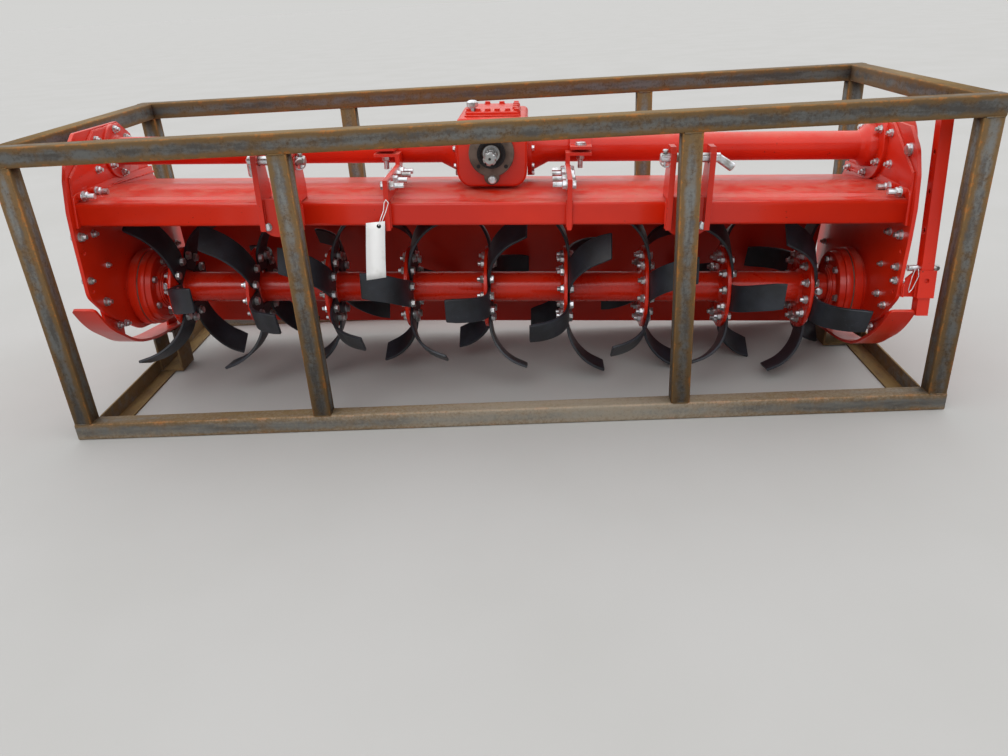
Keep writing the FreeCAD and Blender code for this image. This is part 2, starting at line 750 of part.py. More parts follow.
# Lower link brackets: two ears on a round-footed plate over the toolbar's face, and the link's pin
foot_z = bar_low - link_foot
ear_outline = (
    (bar_front, foot_z), (link_front, foot_z), (link_front, link_pin_z + link_pin_radius),
    (link_front + link_pin_in / 2, link_pin_z + 2 * link_pin_radius),
    (link_pin_y + link_pin_in, link_pin_z + 2 * link_pin_radius),
    (bar_front + bar, deck_top + 2 * link_pin_radius), (bar_front + bar, deck_top), (bar_front, deck_top),
)
pin_hole = [(link_pin_y, link_pin_z, link_pin_radius + fit_gap)]
pins = []
for side, sign in (("left", -1), ("right", 1)):
    middle = sign * link_x
    ears = [
        plate(f"ear_{side}_{number}", ear_outline, link_wall,
              middle + offset * link_spread / 2 - link_wall / 2, pin_hole)
        for number, offset in enumerate((-1, 1))
    ]
    foot_width = link_spread + link_wall
    back_low, back_high = bar_low - link_back_drop, deck_top + link_foot
    back_left, back_right = middle - foot_width / 2, middle + foot_width / 2
    back = plate(f"link_back_{side}", (
        (back_left, back_low), (back_right, back_low), (back_right, back_high), (back_left, back_high),
    ), link_back_wall, -bar_front, plane="XZ_Plane", corners={0: link_back_round, 1: link_back_round})
    keep(joined(f"link_{side}", ears + [back]), f"lower_link_bracket_{side}")
    pin_length_all = foot_width + 2 * link_pin_end
    pins.append(rod(f"link_pin_{side}", link_pin_radius, pin_length_all,
                    (middle - pin_length_all / 2, link_pin_y, link_pin_z)))
keep(grouped("link_pins", pins), "lower_link_pins")

# Skids: a bent strip under each side plate, carried by two tabs on the plate's outer face
skid_line = [(plate_unit * y, plate_unit * z) for y, z in (
    (-3.18, 0.42), (-2.70, -0.30), (-1.40, -1.28), (-0.35, -1.61), (1.90, -1.95),
)]
tab_front = [(plate_unit * y, plate_unit * z) for y, z in (
    (-2.15, 0.40), (-2.35, 0.10), (-2.28, -0.57), (-1.50, -1.15), (-1.44, -0.60), (-1.60, 0.40),
)]
tab_rear = [(plate_unit * y, plate_unit * z) for y, z in (
    (1.12, -0.95), (1.20, -1.80), (1.80, -1.89), (1.86, -0.95),
)]
skid_middle = half_width + skid_out
for side, sign in (("left", -1), ("right", 1)):
    start = float(sign * skid_middle - skid_width / 2)
    points = [(float(y), float(z)) for y, z in skid_line]
    strip = folded_sheet(points, float(skid_wall), start, float(skid_width))
    tab_at = half_width + plate_wall if sign > 0 else -half_width - plate_wall - tab_wall
    tabs = [plate(f"skid_tab_{side}_{number}", outline, tab_wall, tab_at)
            for number, outline in enumerate((tab_front, tab_rear))]
    keep(joined(f"skid_{side}", [shaped(f"skid_strip_{side}", strip)] + tabs), f"skid_{side}")

# Parking stand: a sleeve with a gusset on the right side plate, its leg and the pin that holds it. They
# are built upright, with the sleeve's top at the origin, and then lean to the rear
def stand_placement():
    at = V(float(half_width + leg_out), float(stand_in - plate_unit * 2.93), float(sleeve_high))
    leaned = FreeCAD.Placement(at, FreeCAD.Rotation(V(1, 0, 0), -float(stand_lean)))
    return seat_placement().multiply(leaned)


def keep_stand(thing, label):
    keep(thing, label).Placement = stand_placement()


sleeve = leg + 2 * (leg_gap + sleeve_wall)
pin_z = pin_radius + run_gap
sleeve_block = block("sleeve_block", (sleeve, sleeve, sleeve_length),
                     (-sleeve / 2, -sleeve / 2, -sleeve_length))
arm_end = plate_wall - leg_out
sleeve_arm = plate("sleeve_arm", (
    (arm_end, -sleeve_length), (sleeve_wall - sleeve / 2, -sleeve_length), (sleeve_wall - sleeve / 2, 0),
    (arm_end, -arm_drop),
), arm_wall, -arm_back - arm_wall / 2, plane="XZ_Plane")
leg_space = leg + 2 * leg_gap
sleeve_hole = block("sleeve_hole", (leg_space, leg_space, sleeve_length),
                    (-leg_space / 2, -leg_space / 2, -sleeve_length))
keep_stand(cut("sleeve_cut", joined("sleeve_blank", [sleeve_block, sleeve_arm]), sleeve_hole), "stand_sleeve")

leg_tube = square_tube("leg_tube", leg_below + leg_above, leg, leg_wall,
                       (-leg / 2, -leg / 2, -leg_below), along="z")
leg_holes = joined("leg_holes", [
    rod(f"leg_hole_{number}", pin_radius + fit_gap, 2 * leg, (-leg, 0, pin_z + number * leg_hole_step))
    for number in range(2)
])
keep_stand(cut("leg_cut", leg_tube, leg_holes), "stand_leg")
stand_rod = rod("pin_rod", pin_radius, pin_length, (-pin_length / 2, 0, pin_z))
keep_stand(grouped("stand_pins", [stand_rod]), "stand_pin")

# Rests that carry the skids' rear runs: welded box brackets on the cross angles, tops cut to the skids
run_start, run_end = skid_line[3], skid_line[4]
run_slope = math.degrees(math.atan2(float(run_end[1] - run_start[1]), float(run_end[0] - run_start[0])))


def above_skid(sign, drop):
    # A block whose lower face lies under the skid's rear run by the given drop.
    space = Part.makeBox(600, 900, 600)
    run = FreeCAD.Placement(V(float(sign * skid_middle) - 300, float(run_start[0]), float(run_start[1])),
                            FreeCAD.Rotation(V(1, 0, 0), run_slope))
    dropped = FreeCAD.Placement(V(0, 0, -drop), FreeCAD.Rotation())
    space.Placement = seat_placement().multiply(run).multiply(dropped)
    return space


def rest_shape(sign):
    wall, drop = float(rest_wall), float(fit_gap)
    skid_x = seat_placement().multVec(V(float(sign * skid_middle), 0, 0)).x
    ledge_in = float(half_length - rail - angle_leg)
    outer = float(half_length - rail - angle_wall)
    inner = min(ledge_in, abs(skid_x) - float(skid_width) / 2)
    low, y = float(angle_wall), float(seat_y + run_end[0] - rest_length - rest_back)
    width, length, tall = outer - inner, float(rest_length), float(rotor_height)
    left = inner if sign > 0 else -outer
    shell = Part.makeBox(width, length, tall, V(left, y, low)).cut(above_skid(sign, drop))
    inside = Part.makeBox(width - 2 * wall, length + 2 * wall, tall, V(left + wall, y - wall, low + wall))
    return shell.cut(inside.cut(above_skid(sign, drop + wall)))


rests = [shaped(f"rest_{number}", rest_shape(sign)) for number, sign in enumerate((-1, 1))]
keep(grouped("rests", rests), "crate_skid_rests", seated=False)

doc.recompute()
for thing in doc.Objects:
    if "Invalid" in thing.State or "Error" in thing.State:
        raise RuntimeError(f"{thing.Name} did not build")
os.makedirs("parts", exist_ok=True)
for thing in nodes:
    if thing.Shape.isNull() or not thing.Shape.isValid():
        raise RuntimeError(f"{thing.Label} has no sound shape")
    thing.Shape.exportStep(f"parts/{thing.Label}.step")
    print(thing.Label, len(thing.Shape.Solids), round(thing.Shape.Volume))
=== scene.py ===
import json
import math
import random
from types import SimpleNamespace as Look

import bmesh
import bpy
from mathutils import Matrix, Vector

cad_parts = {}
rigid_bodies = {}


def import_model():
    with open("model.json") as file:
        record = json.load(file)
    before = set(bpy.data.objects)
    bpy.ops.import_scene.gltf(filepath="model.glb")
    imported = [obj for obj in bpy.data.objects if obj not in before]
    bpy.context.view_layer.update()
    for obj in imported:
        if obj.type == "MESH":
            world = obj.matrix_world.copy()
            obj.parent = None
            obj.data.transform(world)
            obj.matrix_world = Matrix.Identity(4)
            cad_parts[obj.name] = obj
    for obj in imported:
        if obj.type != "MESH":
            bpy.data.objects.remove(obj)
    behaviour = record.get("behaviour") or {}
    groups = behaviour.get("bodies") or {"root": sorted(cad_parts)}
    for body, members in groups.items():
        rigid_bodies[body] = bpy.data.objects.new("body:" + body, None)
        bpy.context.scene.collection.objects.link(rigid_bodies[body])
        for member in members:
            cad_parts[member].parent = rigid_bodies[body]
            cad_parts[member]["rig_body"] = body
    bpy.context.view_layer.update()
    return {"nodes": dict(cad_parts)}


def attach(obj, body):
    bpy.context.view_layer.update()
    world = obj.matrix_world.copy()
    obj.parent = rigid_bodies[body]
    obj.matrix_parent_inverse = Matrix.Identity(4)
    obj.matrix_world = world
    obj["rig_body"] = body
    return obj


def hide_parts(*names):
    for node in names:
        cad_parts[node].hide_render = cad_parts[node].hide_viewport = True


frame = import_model()
nodes = frame["nodes"]

# The machine's own frame: x along the rotor, y to the rear, z up, origin on the rotor's axis, in mm
seat = {
    "origin": (-0.023, -0.092, 0.2845),
    "along": (0.9990811, -0.01499728, -0.04015009),
    "back": (0.01500938, 0.99988735, 0.0),
    "up": (0.04014557, -0.00060263, 0.99919366),
}
millimetres = Matrix.Diagonal((0.001, 0.001, 0.001, 1))
seated = Matrix.Identity(4)
for column, part in enumerate(("along", "back", "up", "origin")):
    for row in range(3):
        seated[row][column] = seat[part][row]
seated = seated @ millimetres


# Shader sockets that take part in sums, and the nodes behind them
class Signal:
    def __init__(self, finish, socket):
        self.finish = finish
        self.socket = socket

    def __add__(self, other):
        return self.finish.sum("ADD", self, other)

    def __radd__(self, other):
        return self.finish.sum("ADD", other, self)

    def __rsub__(self, other):
        return self.finish.sum("SUBTRACT", other, self)

    def __mul__(self, other):
        return self.finish.sum("MULTIPLY", self, other)


class Finish:
    def __init__(self, name, **flat):
        self.material = bpy.data.materials.new(name)
        self.material.use_nodes = True
        self.tree = self.material.node_tree
        self.shader = self.tree.nodes["Principled BSDF"]
        for socket, value in flat.items():
            self.shader.inputs[socket.replace("_", " ")].default_value = value
        self.place = self.node("ShaderNodeTexCoord", output="Object")

    def node(self, kind, settings=None, inputs=None, output=0):
        made = self.tree.nodes.new(kind)
        for key, value in (settings or {}).items():
            if key == "stops":
                while len(made.color_ramp.elements) < len(value):
                    made.color_ramp.elements.new(0.5)
                for element, (position, colour) in zip(made.color_ramp.elements, value):
                    element.position = position
                    element.color = colour
            else:
                setattr(made, key, value)
        for key, value in (inputs or {}).items():
            if isinstance(value, Signal):
                self.tree.links.new(value.socket, made.inputs[key])
            else:
                made.inputs[key].default_value = value
        return Signal(self, made.outputs[output])

    def sum(self, operation, left, right):
        return self.node("ShaderNodeMath", {"operation": operation}, {0: left, 1: right})

    def noise(self, scale, detail=3.0, rough=0.55, stretch=(1, 1, 1), offset=(0, 0, 0)):
        where = self.node("ShaderNodeMapping", {}, {"Vector": self.place, "Scale": stretch, "Location": offset})
        return self.node("ShaderNodeTexNoise", {}, {"Vector": where, "Scale": scale, "Detail": detail,
                                                    "Roughness": rough})

    def between(self, signal, low, high):
        # 0 below low and 1 above high, smooth in between
        return self.node("ShaderNodeMapRange", {"interpolation_type": "SMOOTHSTEP"},
                         {"Value": signal, "From Min": low, "From Max": high})

    def mix(self, factor, first, second):
        return self.node("ShaderNodeMix", {"data_type": "RGBA"}, {0: factor, 6: first, 7: second}, output=2)

    def upward(self):
        normal = self.node("ShaderNodeNewGeometry", output="Normal")
        return self.node("ShaderNodeSeparateXYZ", {}, {0: normal}, output="Z")

    def attribute(self, name):
        return self.node("ShaderNodeAttribute", {"attribute_name": name}, output="Fac")

    def wear(self, **feeds):
        # What changes over the surface: colour, roughness, metal and relief
        for socket, signal in feeds.items():
            if socket == "relief":
                height, strength, depth = signal
                bump = self.node("ShaderNodeBump", {}, {"Strength": strength, "Distance": depth, "Height": height},
                                 output="Normal")
                self.tree.links.new(bump.socket, self.shader.inputs["Normal"])
            else:
                self.tree.links.new(signal.socket, self.shader.inputs[socket.replace("_", " ")])
        return self.material


def colour(red, green, blue):
    # A colour as it is seen, 0 to 255, turned to light values
    parts = []
    for value in (red, green, blue):
        share = value / 255
        parts.append(share / 12.92 if share <= 0.04045 else ((share + 0.055) / 1.055) ** 2.4)
    return (*parts, 1.0)


redLook = Look(
    fresh=colour(212, 38, 7),
    deep=colour(196, 31, 6),
    # Pale dust on upward faces: partly real dust and partly painted light that lightens the tops
    dust=colour(190, 138, 122),
    primer=colour(92, 34, 26),
    dustShare=0.4,
    gloss=0.3,
)


def redPaint(name, dusty=1.0, gloss=redLook.gloss):
    paint = Finish(name, Coat_Roughness=0.14, Specular_IOR_Level=0.32)
    cloud = paint.noise(3.2, 4)
    peel = paint.noise(340, 2, 0.5)
    grime = paint.noise(21, 6, 0.62)
    speck = paint.noise(160, 3, 0.6)
    # Upward faces get pale dust: partly real dust, partly painted top light standing in for light from above
    lying = paint.between(paint.upward(), 0.55, 0.96)
    dust = lying * paint.between(grime, 0.3, 0.72) * (redLook.dustShare * dusty)
    chips = paint.between(speck * 0.7 + grime * 0.3, 0.655, 0.675)
    base = paint.mix(paint.between(cloud, 0.35, 0.65), redLook.fresh, redLook.deep)
    base = paint.mix(dust, base, redLook.dust)
    base = paint.mix(chips * 0.8, base, redLook.primer)
    rough = gloss + grime * 0.16 + dust * 0.55 + chips * 0.3
    return paint.wear(Base_Color=base, Roughness=rough, Coat_Weight=0.3 - dust * 0.4,
                      relief=(peel * 0.6 + speck * 0.4, 0.12, 0.0006))


steelLook = Look(
    scale=colour(104, 104, 101),
    scaleDark=colour(78, 74, 70),
    rust=colour(106, 80, 44),
    rustDark=colour(68, 48, 28),
    ochre=colour(130, 106, 60),
    orange=colour(152, 94, 38),
    dust=colour(160, 152, 138),
    edge=colour(158, 112, 58),
)


def millSteel(name, stretch=(1, 1, 1), edged=True, dusty=0.0):
    # Bluish scale along the middle of each face, rust brown to ochre towards its rims
    steel = Finish(name, Specular_IOR_Level=0.4)
    broad = steel.noise(4, 4, 0.55, stretch)
    patches = steel.noise(26, 6, 0.62)
    grain = steel.noise(150, 4, 0.7)
    smears = steel.noise(60, 3, 0.6, stretch)
    rim = steel.attribute("rim") if edged else steel.noise(9, 3) * 0.7
    lying = steel.between(steel.upward(), 0.6, 0.95)
    rusted = steel.between(rim * 0.45 + patches * 0.6 + broad * 0.4 + lying * 0.3, 0.45, 0.7)
    spots = steel.between(grain * 0.35 + patches * 0.65 + rim * 0.1, 0.6, 0.68) * steel.between(rim, 0.12, 0.8)
    scale = steel.between(smears * 0.6 + grain * 0.4, 0.4, 0.6)
    base = steel.mix(scale, steelLook.scale, steelLook.scaleDark)
    base = steel.mix(rusted * 0.92, base, steelLook.rust)
    base = steel.mix(steel.between(grain * 0.55 + patches * 0.45, 0.52, 0.62) * 0.5, base, steelLook.rustDark)
    base = steel.mix(lying * steel.between(smears, 0.3, 0.6) * 0.6, base, steelLook.ochre)
    base = steel.mix(spots * 0.8, base, steelLook.orange)
    if edged:
        line = steel.between(rim, 0.78, 0.96) * steel.between(patches * 0.6 + grain * 0.4, 0.38, 0.58)
        base = steel.mix(line * 0.6, base, steelLook.edge)
    if dusty:
        base = steel.mix(steel.between(broad * 0.6 + grain * 0.4, 0.35, 0.62) * dusty, base, steelLook.dust)
    rough = 0.52 + rusted * 0.26 + grain * 0.12
    return steel.wear(Base_Color=base, Roughness=rough, Metallic=0.3 - rusted * 0.28,
                      relief=(grain * 0.5 + patches * 0.5, 0.3, 0.0012))


def bladeSteel(name):
    steel = Finish(name, Specular_IOR_Level=0.5)
    broad = steel.noise(14, 4)
    brushMarksAndSheen = steel.noise(70, 3, 0.6, (0.25, 1, 1))
    grain = steel.noise(260, 3)
    base = steel.mix(steel.between(broad, 0.3, 0.7), colour(24, 26, 30), colour(40, 44, 52))
    # Lighter grey-blue streaks along the brush marks: painted sheen on top of the real brushing
    base = steel.mix(steel.between(grain * 0.5 + brushMarksAndSheen * 0.5, 0.56, 0.7) * 0.4, base, colour(74, 80, 90))
    return steel.wear(Base_Color=base, Roughness=0.32 + brushMarksAndSheen * 0.2 + grain * 0.08,
                      relief=(grain, 0.12, 0.0008))


def plated(name, tone=(224, 227, 232), dull=0.21):
    metal = Finish(name, Specular_IOR_Level=0.5)
    spots = metal.noise(55, 4)
    fine = metal.noise(420, 2)
    base = metal.mix(metal.between(spots, 0.35, 0.68), colour(*tone), colour(166, 164, 160))
    return metal.wear(Base_Color=base, Roughness=dull + spots * 0.18 + fine * 0.05,
                      Metallic=0.9 - metal.between(spots, 0.6, 0.8) * 0.2, relief=(fine, 0.08, 0.0004))


def bareCast(name):
    metal = Finish(name, Specular_IOR_Level=0.5)
    sand = metal.noise(380, 4, 0.7)
    stain = metal.noise(28, 5)
    base = metal.mix(metal.between(stain, 0.35, 0.65), colour(112, 98, 88), colour(82, 68, 59))
    base = metal.mix(metal.between(sand, 0.6, 0.75) * 0.5, base, colour(140, 104, 74))
    return metal.wear(Base_Color=base, Roughness=0.45 + sand * 0.25, Metallic=0.45 - stain * 0.2,
                      relief=(sand, 0.35, 0.0012))


def darkRubber(name):
    rubber = Finish(name, Specular_IOR_Level=0.35)
    fine = rubber.noise(300, 3)
    base = rubber.mix(rubber.between(fine, 0.4, 0.7), colour(24, 24, 26), colour(44, 43, 43))
    return rubber.wear(Base_Color=base, Roughness=0.5 + fine * 0.2, relief=(fine, 0.15, 0.0005))


def tagCard(name):
    card = Finish(name, Specular_IOR_Level=0.4)
    marks = card.noise(26, 4)
    fibre = card.noise(500, 2)
    base = card.mix(card.between(marks, 0.55, 0.72) * 0.5, colour(248, 248, 247), colour(220, 219, 214))
    return card.wear(Base_Color=base, Roughness=0.42 + fibre * 0.12,
                     relief=(fibre * 0.3 + marks * 0.7, 0.1, 0.001))


finishes = {
    "red": redPaint("redPaint"),
    "rotorRed": redPaint("rotorRedPaint", 0.25, 0.2),
    "railSteel": millSteel("railSteel", (0.16, 1, 1)),
    "lowRailSteel": millSteel("lowRailSteel", (0.16, 1, 1), dusty=0.7),
    "endRailSteel": millSteel("endRailSteel", (1, 0.16, 1)),
    "postSteel": millSteel("postSteel", (1, 1, 0.16)),
    "angleSteel": millSteel("angleSteel", (1, 0.25, 1), edged=False),
    "blade": bladeSteel("bladeBlack"),
    "zinc": plated("zincPlate"),
    "bright": plated("brightSteel", (176, 177, 178), 0.2),
    "cast": bareCast("bareCast"),
    "rubber": darkRubber("sealRubber"),
    "tag": tagCard("tagCard"),
}
print("finishes made:", len(finishes))

slotOf = {"red": "red_paint", "rotorRed": "red_paint", "blade": "blade_black", "zinc": "zinc",
          "bright": "bright_steel", "cast": "bare_cast"}
slotOf.update({name: "frame_steel" for name in finishes if name.endswith("Steel")})


def turnTo(direction):
    return Vector((0, 0, 1)).rotation_difference(Vector(direction).normalized()).to_matrix().to_4x4()


def asMesh(shape, name="pattern"):
    made = bpy.data.meshes.new(name)
    shape.to_mesh(made)
    shape.free()
    return made


def pattern(build):
    shape = bmesh.new()
    build(shape)
    return asMesh(shape)


def inScene(name, data):
    # Shows a mesh, a lamp or a camera
    thing = bpy.data.objects.new(name, data)
    bpy.context.scene.collection.objects.link(thing)
    return thing


def turning(degrees, axis):
    return Matrix.Rotation(math.radians(degrees), 4, axis)


def facedOut(mesh):
    bmesh.ops.recalc_face_normals(mesh, faces=mesh.faces)


def roundEdges(mesh, edges, size, steps, clamp=True):
    bmesh.ops.bevel(mesh, geom=edges, offset=size, offset_type="OFFSET", segments=steps, profile=0.5,
                    affect="EDGES", clamp_overlap=clamp, material=-1)


def edgeBreak(width, angle):
    # A modifier that breaks the edges that are sharper than an angle
    return "BEVEL", {"width": width * 0.001, "segments": 2, "limit_method": "ANGLE",
                     "angle_limit": math.radians(angle), "use_clamp_overlap": True}


def wallOf(thickness, offset=-1, **more):
    # A modifier that gives a sheet its thickness
    return "SOLIDIFY", {"thickness": thickness * 0.001, "offset": offset, **more}


def stamp(mesh, pattern, place):
    # Copies a small finished mesh to a place
    copied = pattern.copy()
    copied.transform(place)
    mesh.from_mesh(copied)
    bpy.data.meshes.remove(copied)


def joinShape(mesh, shape, place):
    # Adds a shape that is used once
    made = asMesh(shape)
    stamp(mesh, made, place)
    bpy.data.meshes.remove(made)


def addRod(mesh, radius, start, end, sides=32, endRadius=None):
    start, end = Vector(start), Vector(end)
    place = Matrix.Translation((start + end) / 2) @ turnTo(end - start)
    return bmesh.ops.create_cone(mesh, cap_ends=True, segments=sides, radius1=radius,
                                 radius2=radius if endRadius is None else endRadius,
                                 depth=(end - start).length, matrix=place)["verts"]


def addBlock(mesh, low, high):
    low, high = Vector(low), Vector(high)
    place = Matrix.Translation((low + high) / 2) @ Matrix.Diagonal((*(high - low), 1))
    return bmesh.ops.create_cube(mesh, size=1, matrix=place)["verts"]


def addPlate(mesh, outline, start, wall, plane="yz"):
    # A flat plate: its outline in (y, z) at x = start, or in (x, z) at y = start, or (x, y) at z = start
    order = {"yz": lambda u, v: (start, u, v), "xz": lambda u, v: (u, start, v), "xy": lambda u, v: (u, v, start)}
    step = {"yz": (wall, 0, 0), "xz": (0, wall, 0), "xy": (0, 0, wall)}[plane]
    corners = [mesh.verts.new(order[plane](u, v)) for u, v in outline]
    face = mesh.faces.new(corners)
    grown = bmesh.ops.extrude_face_region(mesh, geom=[face])["geom"]
    moved = [item for item in grown if isinstance(item, bmesh.types.BMVert)]
    bmesh.ops.translate(mesh, vec=step, verts=moved)
    everything = corners + moved
    bmesh.ops.recalc_face_normals(mesh, faces=list({f for vert in everything for f in vert.link_faces}))
    return everything


def bevelled(mesh, width, steps=2, sharpest=35, verts=None):
    chosen = set(verts) if verts is not None else None
    edges = [edge for edge in mesh.edges if edge.is_manifold and edge.calc_face_angle(0) > math.radians(sharpest)
             and (chosen is None or (edge.verts[0] in chosen and edge.verts[1] in chosen))]
    roundEdges(mesh, edges, width, steps)


def weldBead(mesh, start, end, radius, seed=1):
    # A rod with the ripples of a weld's run
    start, end = Vector(start), Vector(end)
    length = (end - start).length
    chance = random.Random(seed)
    bead = bmesh.new()
    addRod(bead, radius, (0, 0, 0), (0, 0, length), 7)
    along = [edge for edge in bead.edges if abs(edge.verts[1].co.z - edge.verts[0].co.z) > length * 0.9]
    bmesh.ops.subdivide_edges(bead, edges=along, cuts=max(3, int(length / (radius * 1.1))), use_grid_fill=True)
    ripple = {}
    for vert in bead.verts:
        share = ripple.setdefault(round(vert.co.z, 1), 0.78 + 0.4 * chance.random())
        vert.co = (vert.co.x * share, vert.co.y * share, vert.co.z)
    joinShape(mesh, bead, Matrix.Translation(start) @ turnTo(end - start))


def turnedOn(mesh, profile, at, direction, steps=48, closed=False):
    # Spins a line of (height, radius) round a direction; a closed line makes a ring
    lathe = bmesh.new()
    corners = [lathe.verts.new((radius, 0, height)) for height, radius in profile]
    edges = [lathe.edges.new(pair) for pair in zip(corners, corners[1:])]
    if closed:
        edges.append(lathe.edges.new((corners[-1], corners[0])))
    bmesh.ops.spin(lathe, geom=corners + edges, cent=(0, 0, 0), axis=(0, 0, 1), dvec=(0, 0, 0), angle=math.tau,
                   steps=steps, use_merge=True, use_duplicate=False)
    bmesh.ops.remove_doubles(lathe, verts=lathe.verts, dist=0.001)
    facedOut(lathe)
    joinShape(mesh, lathe, Matrix.Translation(Vector(at)) @ turnTo(direction))


def cutOut(mesh, tool):
    # Takes one closed shape out of another
    things = []
    for shape in (mesh, tool):
        data = bpy.data.meshes.new("cutting")
        shape.to_mesh(data)
        things.append(inScene("cutting", data))
    cutting = things[0].modifiers.new("cut", "BOOLEAN")
    cutting.operation = "DIFFERENCE"
    cutting.solver = "EXACT"
    cutting.object = things[1]
    bpy.context.view_layer.update()
    whole = things[0].evaluated_get(bpy.context.evaluated_depsgraph_get())
    mesh.clear()
    mesh.from_mesh(whole.to_mesh())
    whole.to_mesh_clear()
    for thing in things:
        bpy.data.meshes.remove(thing.data)
    tool.free()


def makePiece(name, mesh, finish, body="machine", place=seated, smooth=32, stands=(), modifiers=()):
    bmesh.ops.transform(mesh, matrix=place, verts=mesh.verts)
    data = asMesh(mesh, name)
    data.materials.append(finishes[finish])
    data.shade_smooth()
    data.set_sharp_from_angle(angle=math.radians(smooth))
    piece = inScene(name, data)
    for kind, settings in modifiers:
        added = piece.modifiers.new(kind.title(), kind)
        for key, value in settings.items():
            setattr(added, key, value)
    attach(piece, body)
    finish in slotOf
    if stands:
        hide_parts(*stands)


# Camera, light and floor
camera = {"place": (0.1187, -2.3465, 1.0733), "down": 25.94, "aside": -3.02, "roll": -3.51,
          "pixels": 788.2, "frameWide": 1008}


def setCamera():
    down, aside, roll = (math.radians(camera[key]) for key in ("down", "aside", "roll"))
    ahead = Vector((math.sin(aside) * math.cos(down), math.cos(aside) * math.cos(down), -math.sin(down)))
    right = Vector((math.cos(aside), -math.sin(aside), 0))
    over = right.cross(ahead)
    across = right * math.cos(roll) + over * math.sin(roll)
    upright = over * math.cos(roll) - right * math.sin(roll)
    lens = bpy.data.cameras.new("camera")
    lens.sensor_fit = "HORIZONTAL"
    lens.sensor_width = 36
    lens.lens = camera["pixels"] / camera["frameWide"] * 36
    lens.clip_start = 0.05
    view = inScene("camera", lens)
    view.matrix_world = Matrix((
        (across.x, upright.x, -ahead.x, camera["place"][0]),
        (across.y, upright.y, -ahead.y, camera["place"][1]),
        (across.z, upright.z, -ahead.z, camera["place"][2]),
        (0, 0, 0, 1),
    ))
    bpy.context.scene.camera = view


studio = Look(
    sky=(0.96, 0.98, 1.0, 1), skyLevel=0.56, beyond=(0.651, 0.65, 0.637, 1),
    lamps={"overhead": ((0, 0.1, 1), 140, 2.65), "key": ((-0.5, -1.2, 1.1), 35, 0.4)},
    floor=colour(176, 175, 173), floorMarks=colour(170, 169, 166), floorHalf=150,
)


def setStudio():
    bpy.context.scene.view_settings.view_transform = "Standard"
    world = bpy.data.worlds.new("studio")
    bpy.context.scene.world = world
    world.use_nodes = True
    tree = world.node_tree
    sky = tree.nodes["Background"]
    sky.inputs["Color"].default_value = studio.sky
    sky.inputs["Strength"].default_value = studio.skyLevel
    beyond = tree.nodes.new("ShaderNodeBackground")
    beyond.inputs["Color"].default_value = studio.beyond
    path = tree.nodes.new("ShaderNodeLightPath")
    chosen = tree.nodes.new("ShaderNodeMixShader")
    tree.links.new(path.outputs["Is Camera Ray"], chosen.inputs[0])
    tree.links.new(sky.outputs[0], chosen.inputs[1])
    tree.links.new(beyond.outputs[0], chosen.inputs[2])
    tree.links.new(chosen.outputs[0], tree.nodes["World Output"].inputs["Surface"])
    for name, (direction, spread, level) in studio.lamps.items():
        lamp = bpy.data.lights.new(name, "SUN")
        lamp.angle = math.radians(spread)
        lamp.energy = level
        inScene(name, lamp).matrix_world = turnTo(direction)
    ground = bmesh.new()
    bmesh.ops.create_grid(ground, x_segments=1, y_segments=1, size=studio.floorHalf)
    data = asMesh(ground, "studioFloor")
    surface = Finish("studioFloor", Roughness=0.9, Specular_IOR_Level=0.2)
    mottle = surface.noise(1.5, 3)
    shade = surface.mix(surface.between(mottle, 0.3, 0.7) * 0.5, studio.floor, studio.floorMarks)
    data.materials.append(surface.wear(Base_Color=shade))
    inScene("studioFloor", data)


setCamera()
setStudio()
print("camera and studio set")


# Transport frame: rolled square tube with rounded corners, open ends and welds
rail = Look(side=50, wall=3, corner=5.5, length=2400, depth=887, height=809, innerPost=493,
        cuts=(-0.62, -0.3, 0, 0.3, 0.62))
frameWeld = Look(inset=5, edge=1.5, radius=2.4, endRadius=2.2)


def squareTube(mesh, length, side, corner, place):
    # Along z from 0 to length, then moved by place; its corners are marked for the rust
    if not mesh.verts.layers.float.get("rim"):
        mesh.verts.layers.float.new("rim")
    half = side / 2
    tube = bmesh.new()
    bmesh.ops.create_cube(tube, size=1, matrix=Matrix.Translation((0, 0, length / 2)) @ Matrix.Diagonal(
        (side, side, length, 1)))
    ends = [face for face in tube.faces if abs(face.normal.z) > 0.9]
    bmesh.ops.delete(tube, geom=ends, context="FACES")
    long = [edge for edge in tube.edges if abs(edge.verts[0].co.z - edge.verts[1].co.z) > 1]
    roundEdges(tube, long, corner, 4, clamp=False)
    for share in rail.cuts:
        for axis in ((1, 0, 0), (0, 1, 0)):
            bmesh.ops.bisect_plane(tube, geom=list(tube.verts) + list(tube.edges) + list(tube.faces),
                                   plane_co=Vector(axis) * share * half, plane_no=axis)
    facedOut(tube)
    mark = tube.verts.layers.float.new("rim")
    for vert in tube.verts:
        vert[mark] = min(1.0, (min(abs(vert.co.x), abs(vert.co.y)) / (half - corner * 0.3)) ** 2.2)
    joinShape(mesh, tube, place)


def along(axis, low):
    # Places a tube that stands on its end so that it runs along an axis from its lowest corner
    half = rail.side / 2
    turn = {"x": turning(90, "Y"), "y": turning(-90, "X"), "z": Matrix.Identity(4)}[axis]
    shift = {"x": (0, half, half), "y": (half, 0, half), "z": (half, half, 0)}[axis]
    return Matrix.Translation(Vector(low) + Vector(shift)) @ turn


def frameTubes(name, finish, node, runs):
    mesh = bmesh.new()
    for axis, length, low in runs:
        squareTube(mesh, length, rail.side, rail.corner, along(axis, low))
    makePiece(name, mesh, finish, place=millimetres, stands=[node], smooth=40,
              modifiers=[wallOf(rail.wall, use_even_offset=True)])


